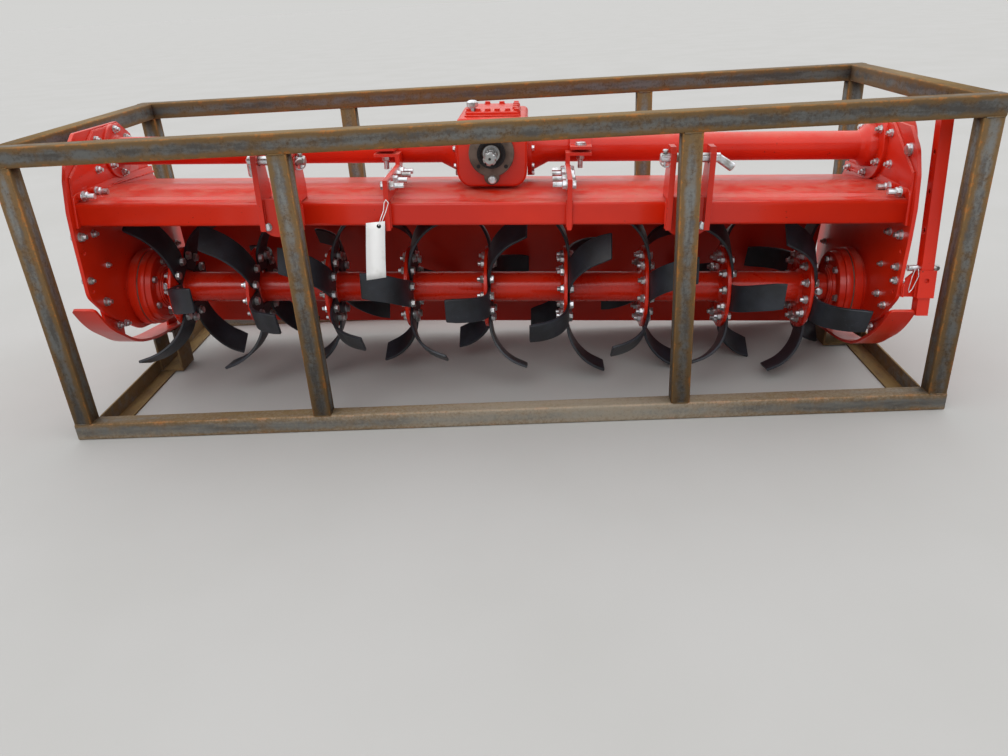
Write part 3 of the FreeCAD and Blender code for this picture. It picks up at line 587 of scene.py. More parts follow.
halfLong, halfDeep = rail.length / 2, rail.depth / 2
frontLow, rearLow = -halfDeep, halfDeep - rail.side
topLow = rail.height - rail.side
halfSide = rail.side / 2
postPlaces = (-halfLong, -rail.innerPost - halfSide, rail.innerPost - halfSide, halfLong - rail.side)
frameTubes("frameBaseRails", "lowRailSteel", "crate_base_rails",
           [("x", rail.length, (-halfLong, y, 0)) for y in (frontLow, rearLow)])
frameTubes("frameTopRails", "railSteel", "crate_top_rails",
           [("x", rail.length, (-halfLong, y, topLow)) for y in (frontLow, rearLow)])
frameTubes("frameEndRails", "endRailSteel", "crate_top_end_rails",
           [("y", rail.depth - 2 * rail.side, (x, rail.side - halfDeep, topLow))
            for x in (-halfLong, halfLong - rail.side)])
for side, y in (("Front", frontLow), ("Rear", rearLow)):
    frameTubes(f"frame{side}Posts", "postSteel", f"crate_{side.lower()}_posts",
               [("z", rail.height - 2 * rail.side, (x, y, rail.side)) for x in postPlaces])


def frameWelds():
    mesh = bmesh.new()
    seed = 0
    low, high = frameWeld.inset, rail.side - frameWeld.inset
    edges = frameWeld.edge, rail.side - frameWeld.edge
    radius, endRadius = frameWeld.radius, frameWeld.endRadius
    for y in (frontLow, rearLow):
        for x in postPlaces:
            for z in (rail.side, topLow):
                for edge in edges:
                    seed += 1
                    weldBead(mesh, (x + low, y + edge, z), (x + high, y + edge, z), radius, seed)
                    weldBead(mesh, (x + edge, y + low, z), (x + edge, y + high, z), radius, seed + 100)
    for x in (-halfLong, halfLong - rail.side):
        for y in (rail.side - halfDeep, halfDeep - rail.side):
            for edge in edges:
                seed += 1
                weldBead(mesh, (x + low, y, topLow + edge), (x + high, y, topLow + edge), endRadius, seed)
    makePiece("frameWelds", mesh, "angleSteel", place=millimetres, smooth=60)


frameWelds()
for name in ("crate_cross_angles", "crate_skid_rests"):
    nodes[name].data.materials.clear()
    nodes[name].data.materials.append(finishes["angleSteel"])
print("transport frame dressed")


# Bolts: a washer and hexagon head, and a nut with the thread's end
boltForm = Look(washer=1.16, washerWall=0.2, flats=0.82, crown=0.8)


def hexHead(mesh, radius, tall):
    base = radius * boltForm.washerWall
    flats = base + tall * boltForm.flats
    addRod(mesh, radius * boltForm.washer, (0, 0, 0), (0, 0, base), 12)
    addRod(mesh, radius, (0, 0, base), (0, 0, flats), 6)
    addRod(mesh, radius * 0.99, (0, 0, flats), (0, 0, base + tall), 12, radius * boltForm.crown)


def nutEnd(mesh, radius, tall, thread, share=0.56):
    base = radius * boltForm.washerWall
    hexHead(mesh, radius, tall)
    addRod(mesh, radius * share, (0, 0, base), (0, 0, base + tall + thread), 10)


# Radius over the corners, height, length of thread past the nut and its share of the radius
boltSizes = {"small": (7.6, 5.5, 5), "middle": (9.4, 7.5, 6), "large": (11.4, 9, 8),
             "big": (14, 9, 10), "long": (11.8, 11, 18, 0.66), "stud": (11.6, 11, 23, 0.62), "wide": (14, 5.5, 5),
             "flat": (10.5, 3, 2)}
heads = {size: pattern(lambda mesh, s=spec: hexHead(mesh, s[0], s[1])) for size, spec in boltSizes.items()}
nuts = {size: pattern(lambda mesh, s=spec: nutEnd(mesh, *s)) for size, spec in boltSizes.items()}


def boltAt(mesh, kind, size, at, direction, turn=0.0):
    place = Matrix.Translation(Vector(at)) @ turnTo(direction) @ turning(turn, "Z")
    stamp(mesh, (heads if kind == "head" else nuts)[size], place)


# Painted plates, castings and sheets: the CAD solids with their edges broken
def softened(node, name, finish, edge, holes=(), gaps=(), place=seated):
    mesh = bmesh.new()
    mesh.from_mesh(nodes[node].data)
    bmesh.ops.remove_doubles(mesh, verts=mesh.verts, dist=0.00001)
    if holes or gaps:
        tool = bmesh.new()
        for radius, start, end in holes:
            addRod(tool, radius, start, end, 20)
        for low, high in gaps:
            addBlock(tool, low, high)
        bmesh.ops.transform(tool, matrix=place, verts=tool.verts)
        cutOut(mesh, tool)
    bmesh.ops.dissolve_limit(mesh, angle_limit=math.radians(0.6), verts=mesh.verts, edges=mesh.edges,
                             delimit={"NORMAL"})
    makePiece(name, mesh, finish, body=nodes[node]["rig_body"], place=Matrix.Identity(4), stands=[node],
              modifiers=[edgeBreak(edge, 34)])


# The stand's own frame: its sleeve's top as the origin, leaned to the rear
stood = seated @ Matrix.Translation((1130, -280, 142)) @ turning(-10.9, "X")
softPieces = (
    ("rear_board", "rearBoard", "red", 0.9, {}),
    ("drive_case", "driveCase", "red", 5, {}),
    ("gearbox_housing", "gearboxHousing", "red", 6, {}),
    ("gearbox_lid", "gearboxLid", "red", 3, {}),
    ("mast_bracket_left", "mastBracketLeft", "red", 1.6, {}),
    ("mast_bracket_right", "mastBracketRight", "red", 1.6, {}),
    ("lower_link_bracket_left", "linkBracketLeft", "red", 1.8, {}),
    ("lower_link_bracket_right", "linkBracketRight", "red", 1.8, {}),
    ("hood", "hoodSheet", "red", 0.9, {"gaps": [((-1070, -280, 318.2), (1070, -208, 330))]}),
    ("stand_sleeve", "standSleeve", "red", 1.2,
     {"place": stood, "holes": [(6.5, (-2, -40, -26), (-2, -10, -26)), (5, (-40, 0, -52), (40, 0, -52))]}),
    ("stand_leg", "standLeg", "red", 1.4,
     {"place": stood, "holes": [(6.4, (-30, 0, height), (30, 0, height)) for height in (100.05, 195, 290)]}),
    ("gearbox_front_cover", "gearboxFrontCover", "cast", 2.2, {}),
    ("rear_board_rod", "boardRod", "zinc", 1.2, {}),
)
for node, name, finish, edge, extras in softPieces:
    softened(node, name, finish, edge, **extras)
print("painted plates and castings softened")

toolbar = Look(side=60, corner=8, wall=5, half=1066, front=-268, low=258, seamHalf=1057,
           seam=((-228, 317.6), (-206, 317.6), (-206, 323), (-208, 323), (-213, 321.6), (-220, 319.2)))


def makeToolbar():
    mesh = bmesh.new()
    middle = toolbar.side / 2
    place = Matrix.Translation((-toolbar.half, toolbar.front + middle, toolbar.low + middle))
    squareTube(mesh, 2 * toolbar.half, toolbar.side, toolbar.corner, place @ turning(90, "Y"))
    makePiece("toolbarTube", mesh, "red", stands=["toolbar"], modifiers=[wallOf(toolbar.wall)], smooth=40)
    seam = bmesh.new()
    addPlate(seam, toolbar.seam, -toolbar.seamHalf, 2 * toolbar.seamHalf)
    makePiece("hoodSeam", seam, "red", smooth=50)


makeToolbar()

# Rotor
reel = Look(
    tube=44.5, neck=40, flanges=9, flangeRadius=120, flangeWall=10, halfWidth=1066,
    neckSpace=26, blades=6, bladeWall=8, root=50, bendStart=98, bendRadius=128, bend=70,
    tipEnd=26, width=78, phase=186, helix=16.75, sideSpace=32, boltCircle=95,
    boltTurn=15.5, weldRun=9, weldHigh=7,
)
# The blade's middle line and half width: along its shank, and by its share of the height past the bend's start
bladeForm = Look(middle=5.3, fades=0.36, shank=31.2, widens=9, sweep=36.9, sweepMore=23.8,
             narrows=1.3, tip=0.93, tipSpan=0.07, tipTaper=3)


def bladeReach():
    bend = math.radians(reel.bend)
    inner = reel.bendRadius - reel.bladeWall / 2
    return reel.bendRadius - inner * math.cos(bend) + reel.tipEnd * math.sin(bend)


reelPitch = 2 * (reel.halfWidth - reel.sideSpace - bladeReach()) / (reel.flanges - 1)
flangePlaces = [(number - (reel.flanges - 1) / 2) * reelPitch for number in range(reel.flanges)]
discMiddle = -(reel.flangeWall + reel.bladeWall) / 2


def flangeAngle(flange, number):
    return math.radians(reel.phase + flange * reel.helix + number * 360 / reel.blades - 90)


def makeReelBody():
    mesh = bmesh.new()
    first, last = flangePlaces[0] + discMiddle, flangePlaces[-1] + discMiddle
    half = reel.flangeWall / 2
    end = reel.halfWidth - reel.neckSpace
    addRod(mesh, reel.tube, (first, 0, 0), (last, 0, 0), 64)
    addRod(mesh, reel.neck, (-end, 0, 0), (end, 0, 0), 64)
    for x in flangePlaces:
        disc = addRod(mesh, reel.flangeRadius, (x + discMiddle - half, 0, 0), (x + discMiddle + half, 0, 0), 96)
        bevelled(mesh, 1.6, 2, 40, disc)
        for side in (-1, 1):
            if (x, side) in ((flangePlaces[0], -1), (flangePlaces[-1], 1)):
                continue
            start = x + discMiddle + side * half
            addRod(mesh, reel.tube + reel.weldHigh, (start, 0, 0), (start + side * reel.weldRun, 0, 0), 48,
                   reel.tube - 0.5)
    makePiece("reelBody", mesh, "rotorRed", body="rotor", stands=["rotor_reel"])


def oneBlade(mesh):
    # A flat strip, bent round and swept back by moving its points, then thickened
    length = (reel.bendStart - reel.root) + math.radians(reel.bend) * reel.bendRadius + reel.tipEnd
    made = bmesh.ops.create_grid(mesh, x_segments=4, y_segments=18, size=0.5)
    bend, radius, start = math.radians(reel.bend), reel.bendRadius, reel.bendStart
    high = start + radius * math.sin(bend) + reel.tipEnd * math.cos(bend)
    half = reel.width / 2
    for vert in made["verts"]:
        across, run = vert.co.x * 2, (vert.co.y + 0.5) * length + reel.root
        over = run - start
        angle = min(bend, max(0, over / radius))
        if over <= 0:
            out, rise = 0, run
        else:
            rest = max(0, over - bend * radius)
            out = radius * (1 - math.cos(angle)) + rest * math.sin(angle)
            rise = start + radius * math.sin(angle) + rest * math.cos(angle)
        share = (rise - start) / (high - start)
        if share < 0:
            middle = max(0, bladeForm.middle * (1 + share / bladeForm.fades))
            wide = bladeForm.shank + (rise - reel.root) / (start - reel.root) * bladeForm.widens
        else:
            middle = bladeForm.middle + bladeForm.sweep * share + bladeForm.sweepMore * share * share
            wide = half + bladeForm.narrows * (1 - share)
        if share > bladeForm.tip:
            wide -= (share - bladeForm.tip) / bladeForm.tipSpan * bladeForm.tipTaper * abs(across)
        vert.co = (out, middle + across * wide, rise)
    facedOut(mesh)
    bmesh.ops.solidify(mesh, geom=list(mesh.faces), thickness=reel.bladeWall)
    low = min((vert.co.x for vert in mesh.verts if vert.co.z < reel.root + 1), default=0)
    bmesh.ops.translate(mesh, vec=(-low - reel.bladeWall / 2, 0, 0), verts=mesh.verts)
    facedOut(mesh)
    bevelled(mesh, 1.5, 1, 50)


def makeBlades():
    right = pattern(oneBlade)

    def mirrored(mesh):
        mesh.from_mesh(right)
        bmesh.ops.scale(mesh, vec=(-1, 1, 1), verts=mesh.verts)
        bmesh.ops.reverse_faces(mesh, faces=mesh.faces)

    left = pattern(mirrored)
    mesh = bmesh.new()
    for flange, x in enumerate(flangePlaces):
        for number in range(reel.blades):
            turned = Matrix.Translation((x, 0, 0)) @ Matrix.Rotation(flangeAngle(flange, number), 4, "X")
            stamp(mesh, left if number % 2 else right, turned)
    makePiece("reelBlades", mesh, "blade", body="rotor", smooth=40)


makeReelBody()
makeBlades()


def makeBladeBolts():
    mesh = bmesh.new()
    chance = random.Random(11)
    nutFace = discMiddle - reel.flangeWall / 2
    headFace = reel.bladeWall / 2
    for flange, x in enumerate(flangePlaces):
        for number in range(reel.blades):
            for offset in (-1, 1):
                angle = flangeAngle(flange, number) + math.radians(offset * reel.boltTurn)
                y, z = -math.sin(angle) * reel.boltCircle, math.cos(angle) * reel.boltCircle
                boltAt(mesh, "nut", "large", (x + nutFace, y, z), (-1, 0, 0), chance.uniform(0, 60))
                boltAt(mesh, "head", "large", (x + headFace, y, z), (1, 0, 0), chance.uniform(0, 60))
    makePiece("bladeBolts", mesh, "zinc", body="rotor")


makeBladeBolts()
print("rotor built")

# Input shaft: six splines with a ring groove, and the seal round it
shaft = Look(
    x=20, z=420, back=-170, top=17.5, collar=21.9, splines=6, sides=72, tooth=8,
    rings=((-242, 12.6, 12.6), (-238.8, 17.5, 14.8), (-222, 17.5, 14.8), (-220.5, 14.4, 14.4),
              (-213.5, 14.4, 14.4), (-212, 17.5, 14.8), (-178, 17.5, 14.8)),
    neck=9, collarBack=19, centre=3.4, centreDeep=(0.2, 2),
    seal=37, sealInner=0.66, sealFace=-172.4, sealDeep=5, sealDish=1.5, sealWall=1,
)


def makeInputShaft():
    mesh = bmesh.new()
    x, z = shaft.x, shaft.z
    sides = shaft.sides
    rings = []
    for y, top, root in shaft.rings:
        ring = []
        for number in range(sides):
            radius = root if number % (sides // shaft.splines) >= shaft.tooth else top
            turn = math.tau * number / sides
            ring.append(mesh.verts.new((x + radius * math.cos(turn), y, z + radius * math.sin(turn))))
        rings.append(ring)
    for first, second in zip(rings, rings[1:]):
        for number in range(sides):
            after = (number + 1) % sides
            mesh.faces.new((first[number], first[after], second[after], second[number]))
    mesh.faces.new(rings[0])
    mesh.faces.new(rings[-1])
    facedOut(mesh)
    back = shaft.back
    addRod(mesh, shaft.top, (x, back - shaft.neck, z), (x, back, z), 48)
    addRod(mesh, shaft.collar, (x, back, z), (x, back + shaft.collarBack, z), 48)
    makePiece("inputShaft", mesh, "bright", body="input", stands=["input_shaft"])
    # A dark disc on the shaft's end face: painted shade of its centre hole
    centre = bmesh.new()
    front = shaft.rings[0][0]
    out, deep = shaft.centreDeep
    addRod(centre, shaft.centre, (x, front - out, z), (x, front + deep, z), 20)
    makePiece("shaftCentreShade", centre, "rubber", body="input")
    seal = bmesh.new()
    bmesh.ops.create_cone(seal, cap_ends=False, segments=64, radius1=shaft.seal, radius2=shaft.seal,
                          depth=shaft.sealDeep)
    rim = [edge for edge in seal.edges if edge.verts[0].co.z > 0 and edge.verts[1].co.z > 0]
    grown = bmesh.ops.extrude_edge_only(seal, edges=rim)["geom"]
    inner = [item for item in grown if isinstance(item, bmesh.types.BMVert)]
    bmesh.ops.scale(seal, vec=(shaft.sealInner, shaft.sealInner, 1), verts=inner)
    bmesh.ops.translate(seal, vec=(0, 0, -shaft.sealDish), verts=inner)
    facedOut(seal)
    place = seated @ Matrix.Translation((x, shaft.sealFace, z)) @ turnTo((0, -1, 0))
    makePiece("shaftSeal", seal, "rubber", place=place, modifiers=[wallOf(shaft.sealWall)])


makeInputShaft()
print("input shaft and seal built")


def boltRing(mesh, kind, size, x, centre, radius, angles, direction):
    # Round the x axis, each angle from the rear upwards
    for angle in angles:
        turn = math.radians(angle)
        at = (x, centre[0] + radius * math.cos(turn), centre[1] + radius * math.sin(turn))
        boltAt(mesh, kind, size, at, direction, angle * 1.7)


# Bearing hubs with their cap bolts, and the cover on the left
hubLook = Look(
    ring=((0, 41), (0, 106), (6, 106), (6.8, 112), (9, 114.4), (20, 115), (29, 114.6), (31, 112.8),
             (31.8, 110.6), (35, 110.6), (35.6, 112), (38, 112.6), (50, 112.5), (53, 111), (53.6, 104.5),
             (55, 103.6), (66, 102.6), (68.5, 101), (69.4, 98), (69.4, 90), (67.5, 88), (67.5, 66), (70, 64),
             (73, 63), (75.5, 61), (75.8, 57), (79.5, 56), (80, 52), (83, 51), (83.4, 41)),
    seam=((31.4, 102), (31.4, 111), (35.3, 111), (35.3, 102)),
    cover=((0, 0), (0, 92), (8, 92), (10, 90), (10, 74), (14, 71.8), (44, 58), (47.5, 54), (48, 50), (48, 0)),
    inner=1066, outer=1076, face=67.5, circle=79, coverFace=9.5, coverCircle=83, neck=40,
    first={-1: 86, 1: 66}, neckBolts={-1: (-983, 161), 1: (960, 182)},
)


def makeHubs():
    mesh, seams, bolts, neckBolts = (bmesh.new() for number in range(4))
    for side in (-1, 1):
        inward, base = (-side, 0, 0), side * hubLook.inner
        turnedOn(mesh, hubLook.ring, (base, 0, 0), inward, 72, closed=True)
        turnedOn(seams, hubLook.seam, (base, 0, 0), inward, 64, closed=True)
        first = hubLook.first[side]
        boltRing(bolts, "head", "middle", base - side * hubLook.face, (0, 0), hubLook.circle,
                 range(first, first + 360, 60), inward)
        x, start = hubLook.neckBolts[side]
        for number in range(3):
            turn = math.radians(start + number * 120)
            out = Vector((0, math.cos(turn), math.sin(turn)))
            boltAt(neckBolts, "head", "middle", Vector((x, 0, 0)) + out * hubLook.neck, out)
    turnedOn(mesh, hubLook.cover, (-hubLook.outer, 0, 0), (-1, 0, 0), 72)
    boltRing(bolts, "head", "middle", -hubLook.outer - hubLook.coverFace, (0, 0), hubLook.coverCircle,
             range(0, 360, 60), (-1, 0, 0))
    makePiece("bearingHousings", mesh, "red", stands=["bearing_housings"])
    makePiece("hubSeams", seams, "cast")
    makePiece("hubBolts", bolts, "zinc")
    makePiece("neckBolts", neckBolts, "zinc", body="rotor")


makeHubs()

# Side plates: doublers round the drive tube, end closures of the hood, their bolts and welds
plateLook = Look(
    inner=1066, outer=1076, doublerWall=6, closureWall=8,
    doubler=((-95, 474), (-252, 381), (-262, 325), (-50, 325), (112, 301), (104, 437), (50, 474)),
    closure=((-277, 256), (-266, 328), (-261, 337), (-250, 341), (-60, 341), (190, 328), (190, 262)),
    outline=((-178, 482), (-238, 438), (-270, 378), (-288, 300), (-292, 229), (-293, 70), (-222, -12),
                (-72, -110), (88, -138), (240, -120), (325, -10), (345, 110), (292, 210), (200, 303), (110, 440),
                (50, 480)),
    rounds={0: 12, 1: 60, 2: 60, 3: 60, 4: 60, 5: 40, 6: 60, 7: 90, 9: 80, 10: 60, 11: 40, 12: 40, 13: 40,
               14: 60, 15: 12},
    bosses=((-240, 333), (-172, 330)), bossRadius=10, bossFrom=1060, bossTo=1046,
    closureWelds=(-16, -18, 3.4), frontWeld=((-209, 316), (-209, 260)), doublerWeld=1.5, bead=3,
    bolts={
        0: ((-240, 333, "long", 20), (-172, 330, "long", 20), (-172, 124, "small", 0), (-274, 112, "middle", 0),
            (-118, 377, "middle", 6), (-94, 452, "middle", 6), (-150, -60, "middle", 0), (240, -60, "middle", 0),
            (262, 60, "middle", 0)),
        1: ((-184, 216, "middle", 0), (-252, 226, "large", 0), (-266, 146, "middle", 0), (-186, 45, "middle", 0),
            (-236, 30, "middle", 0), (150, 316, "middle", 8)),
        -1: ((-268, 231, "large", 0), (-205, 223, "middle", 0), (-224, 34, "large", 0)),
    },
    besideStand=((-300, -225), (130, 270)), holes=((45, 0, 0, 64), (5, -265, 186, 16), (5, -270, 80, 16)),
    plug=(-205, 430),
)


def clearOfCase(y, z):
    # True where the drive case doesn't cover the right plate's outer face
    share = max(0, min(1, z / 405))
    return abs(y - 5 * share) > 150 - 36 * share or z < -130


def roundedOutline(points, rounds, steps=5):
    # Swaps an outline's corners for arcs of the radii given for them
    made = []
    for number, point in enumerate(points):
        at = Vector(point)
        before = Vector(points[number - 1]) - at
        after = Vector(points[(number + 1) % len(points)]) - at
        half = before.angle(after) / 2
        reach = min(rounds.get(number, 0) / math.tan(half), before.length * 0.48, after.length * 0.48)
        if reach < 0.5:
            made.append(point)
            continue
        radius = reach * math.tan(half)
        inward = (before.normalized() + after.normalized()).normalized()
        centre = at + inward * radius / math.sin(half)
        first = at + before.normalized() * reach - centre
        swing = first.angle_signed(at + after.normalized() * reach - centre)
        for step in range(steps + 1):
            turned = first.copy()
            turned.rotate(Matrix.Rotation(-swing * step / steps, 2))
            made.append(tuple(centre + turned))
    return made


def makeSidePlates():
    outline = roundedOutline(plateLook.outline, plateLook.rounds)
    for side, name in ((-1, "Left"), (1, "Right")):
        mesh, tool = bmesh.new(), bmesh.new()
        addPlate(mesh, outline, side * plateLook.inner, side * (plateLook.outer - plateLook.inner))
        for radius, y, z, sides in plateLook.holes:
            addRod(tool, radius, (side * 1050, y, z), (side * 1090, y, z), sides)
        cutOut(mesh, tool)
        makePiece(f"sidePlate{name}", mesh, "red", stands=[f"side_plate_{name.lower()}"],
                  modifiers=[edgeBreak(1.4, 45)])


makeSidePlates()


def makePlateDetails():
    mesh, bolts, welds = bmesh.new(), bmesh.new(), bmesh.new()
    for side in (-1, 1):
        inner = side * plateLook.inner
        for outline, wall in ((plateLook.doubler, plateLook.doublerWall),
                              (plateLook.closure, plateLook.closureWall)):
            bevelled(mesh, 1.3, 2, 35, addPlate(mesh, outline, inner, -side * wall))
        for y, z in plateLook.bosses:
            addRod(mesh, plateLook.bossRadius, (side * plateLook.bossFrom, y, z),
                   (side * plateLook.bossTo, y, z), 20)
        (near, far), (low, high) = plateLook.besideStand
        for y, z, size, base in plateLook.bolts[0] + plateLook.bolts[side]:
            boltAt(bolts, "nut", size, (inner - side * base, y, z), (-side, 0, 0), y)
            if side < 0 or clearOfCase(y, z):
                shown = "flat" if side > 0 and near < y < far and low < z < high else size
                boltAt(bolts, "head", shown, (side * plateLook.outer, y, z), (side, 0, 0), z)
        ends = plateLook.closure
        x = inner - side * plateLook.closureWall
        under, farUnder, radius = plateLook.closureWelds
        for seed, (start, end) in enumerate(zip(ends[3:5], ends[4:6])):
            weldBead(welds, (x, start[0], start[1] + under), (x, end[0], end[1] + farUnder), radius, seed + 40)
        start, end = plateLook.frontWeld
        weldBead(welds, (x, *start), (x, *end), plateLook.bead, 77)
        outline = plateLook.doubler
        x = inner - side * plateLook.doublerWeld
        for seed, (start, end) in enumerate(zip(outline, outline[1:] + outline[:1])):
            if seed not in (2, 3):
                weldBead(welds, (x, *start), (x, *end), plateLook.bead, seed + 60)
        boltAt(bolts, "head", "big", (inner, *plateLook.plug), (-side, 0, 0), 20)
    makePiece("plateDoublers", mesh, "red")
    makePiece("plateBolts", bolts, "zinc")
    makePiece("plateWelds", welds, "red", smooth=60)


makePlateDetails()

# Drive tube to the right and support tube to the left, turned, with their flange bolts
tubeLook = Look(
    y=5, z=405, right=(112, (
        (0, 0), (0, 74), (11, 74), (12, 73), (12, 62), (14, 60), (57, 38), (898, 38), (900, 39.5), (905, 42),
        (911, 48), (916, 54), (920, 56), (936, 57), (936, 88), (938, 90), (954, 90), (954, 0))),
    left=(-72, (
        (0, 0), (0, 74), (11, 74), (12, 73), (12, 62), (14, 60), (57, 38), (974, 38), (979, 41), (982, 46),
        (982, 72), (983.5, 74), (994, 74), (994, 0))),
    innerRing=(66, 12), outerRight=(75, 936, (30, 84, 138, 206, 274, 330)), outerLeft=(60, 982),
)


def makeTubes():
    bolts = bmesh.new()
    centre = (tubeLook.y, tubeLook.z)
    for side, node, (start, profile) in ((1, "drive_tube_right", tubeLook.right),
                                         (-1, "support_tube_left", tubeLook.left)):
        mesh = bmesh.new()
        turnedOn(mesh, profile, (start, *centre), (side, 0, 0), 64)
        makePiece("driveTubeRight" if side > 0 else "supportTubeLeft", mesh, "red", stands=[node])
        radius, depth = tubeLook.innerRing
        boltRing(bolts, "head", "small", start + side * depth, centre, radius, range(36, 396, 45), (side, 0, 0))
    radius, depth, angles = tubeLook.outerRight
    boltRing(bolts, "nut", "middle", 112 + depth, centre, radius, angles, (-1, 0, 0))
    radius, depth = tubeLook.outerLeft
    boltRing(bolts, "nut", "middle", -72 - depth, centre, radius, range(30, 390, 60), (1, 0, 0))
    boltRing(bolts, "head", "middle", -1076, centre, radius, range(30, 390, 60), (-1, 0, 0))
    makePiece("tubeBolts", bolts, "zinc")


makeTubes()

# Drive case: bolts round its rim, bosses on its outer face and plugs
caseLook = Look(
    low=(0, 0, 126), top=(5, 405, 90), rim=1086, face=1140, step=24, topStep=30, sideBolts=5,
    bosses=(((0, 0), ((-4, 0), (-4, 66), (3, 64), (9, 60), (12, 54), (12.4, 50), (12.4, 0)), 56),
               ((5, 405), ((-4, 0), (-4, 50), (4, 48), (8, 44), (8.6, 40), (8.6, 0)), 48)),
    bossHigh=12.4, bossCircle=42, plugs=((0, 96), (58, 240), (5, 330)),
)


def makeCaseDetails():
    mesh, bolts = bmesh.new(), bmesh.new()
    for (y, z, radius), first, last, step in ((caseLook.low, 180, 361, caseLook.step),
                                              (caseLook.top, 0, 181, caseLook.topStep)):
        boltRing(bolts, "head", "small", caseLook.rim, (y, z), radius, range(first, last, step), (1, 0, 0))
    lowRadius, (topY, topZ, topRadius) = caseLook.low[2], caseLook.top
    for number in range(1, caseLook.sideBolts):
        share = number / caseLook.sideBolts
        for side in (-1, 1):
            y = side * (lowRadius - (lowRadius - topRadius) * share) + topY * share
            boltAt(bolts, "head", "small", (caseLook.rim, y, topZ * share), (1, 0, 0), number * 20)
    for centre, profile, steps in caseLook.bosses:
        turnedOn(mesh, profile, (caseLook.face, *centre), (1, 0, 0), steps)
    boltRing(bolts, "head", "small", caseLook.face + caseLook.bossHigh, (0, 0), caseLook.bossCircle,
             range(30, 390, 60), (1, 0, 0))
    for y, z in caseLook.plugs:
        boltAt(bolts, "head", "large", (caseLook.face, y, z), (1, 0, 0), 15)
    makePiece("caseBosses", mesh, "red")
    makePiece("caseBolts", bolts, "zinc")


makeCaseDetails()

# Gearbox: the lid's painted bolts, the breather, the cover's lug bolt, and dark discs on the cover as painted
# shade in its empty holes
boxLook = Look(
    lidTop=517, lidBolts=((-16, -98), (9, -98), (34, -98), (61, -98), (85, -98), (-40, -98), (-40, -60),
                                (-40, -20), (-40, 20), (-40, 50), (80, -60), (80, -20), (80, 20), (80, 50),
                                (0, 50), (40, 50)),
    breatherLine=((0, 0), (0, 9), (10, 9), (10, 14), (12, 15), (22, 15), (25, 12), (27, 8), (28, 0)),
    breather=(-31, -95), lug=(21.5, -170, 354), holes=((-14, 388.5), (57.7, 388)), hole=5.2,
    holeEnds=(-170.4, -168), pad=10.5, padEnds=(-12.5, -0.5),
    frame=((-52, -114), (92, -114), (92, 64), (-52, 64)), frameLow=505, frameWall=4,
)


def makeGearboxDetails():
    heads, zinc, holes, rim = (bmesh.new() for number in range(4))
    top = boxLook.lidTop
    low, high = boxLook.padEnds
    for number, (x, y) in enumerate(boxLook.lidBolts):
        boltAt(heads, "head", "small", (x, y, top), (0, 0, 1), number * 23)
        addRod(heads, boxLook.pad, (x, y, top + low), (x, y, top + high), 16)
    x, y = boxLook.breather
    turnedOn(zinc, boxLook.breatherLine, (x, y, top), (0, 0, 1), 6)
    boltAt(zinc, "head", "middle", boxLook.lug, (0, -1, 0), 10)
    # The empty holes are thin dark discs on the cover's face: painted shade, not cut holes
    front, back = boxLook.holeEnds
    for x, z in boxLook.holes:
        addRod(holes, boxLook.hole, (x, front, z), (x, back, z), 20)
    bevelled(rim, 2, 2, 35, addPlate(rim, boxLook.frame, boxLook.frameLow, boxLook.frameWall, "xy"))
    makePiece("gearboxLidBolts", heads, "red")
    makePiece("gearboxFittings", zinc, "zinc")
    makePiece("coverHoleShades", holes, "rubber")
    makePiece("gearboxLidSeat", rim, "red")


makeGearboxDetails()

# Mast brackets: four long bolts through each plate, and the clamp's bolt through its ears
mastLook = Look(rows=((-250, 358), (-190, 359), (-130, 360), (-85, 361)), left=(-248, -236), right=(215, 227),
            clampLeft=-277, clampRight=256, clampY=-52, earTop=421, earLow=397,
            welds=(((-268.5, 254), (-268.5, 317), 90), ((-266, 319), (-212, 319), 92)), bead=3.2)


def makeMastBolts():
    bolts, welds = bmesh.new(), bmesh.new()
    for side, inner, outer, clamp in ((-1, mastLook.left[1], mastLook.left[0], mastLook.clampLeft),
                                      (1, mastLook.right[0], mastLook.right[1], mastLook.clampRight)):
        for number, (y, z) in enumerate(mastLook.rows):
            boltAt(bolts, "nut", "stud", (inner, y, z), (-side, 0, 0), number * 17)
            boltAt(bolts, "head", "large", (outer, y, z), (side, 0, 0), number * 29)
        at = (clamp, mastLook.clampY)
        boltAt(bolts, "head", "wide", (*at, mastLook.earTop), (0, 0, 1), 12)
        boltAt(bolts, "nut", "stud", (*at, mastLook.earLow), (0, 0, -1), 40)
        for x in (inner, outer):
            for start, end, seed in mastLook.welds:
                weldBead(welds, (x, *start), (x, *end), mastLook.bead, side + seed)
    makePiece("mastBolts", bolts, "zinc")
    makePiece("mastWelds", welds, "red", smooth=60)


makeMastBolts()

# Link pins: a bent handle on the outer end and a linchpin with its ring on the inner one
linkLook = Look(
    y=-265, z=425, radius=11.5, inner=440, outer=586, handle={1: (39, 2, -25), -1: (6, 22, -40)},
    handleIn=6, handleLine=((-7, 0), (-7, 7), (-3, 10)), handleEnd=((-2, 11.2), (0, 9), (0, 0)),
    pinAt=453, pin=3.6, pinUp=17, pinDown=21, capUp=15,
    cap=((-2, 0), (-2, 6), (0, 7.5), (3, 7.5), (5, 5.5), (5, 0)),
    ring=14, wire=1.9, ringAt=(0, -9, -8), bracket=517, half=54.5, plate=-278, boltOut=38,
    boltLow=260, cheeks=(-47.5, 47.5), cheekFaces=(-7, 7), cheekWeld=(252, 330),
    footWeld=(-269, 262, 316),
)


def ringAround(mesh, radius, wire, at, direction, steps=28):
    turns = [math.tau * number / 8 for number in range(8)]
    circle = [(wire * math.sin(turn), radius + wire * math.cos(turn)) for turn in turns]
    turnedOn(mesh, circle, at, direction, steps, closed=True)


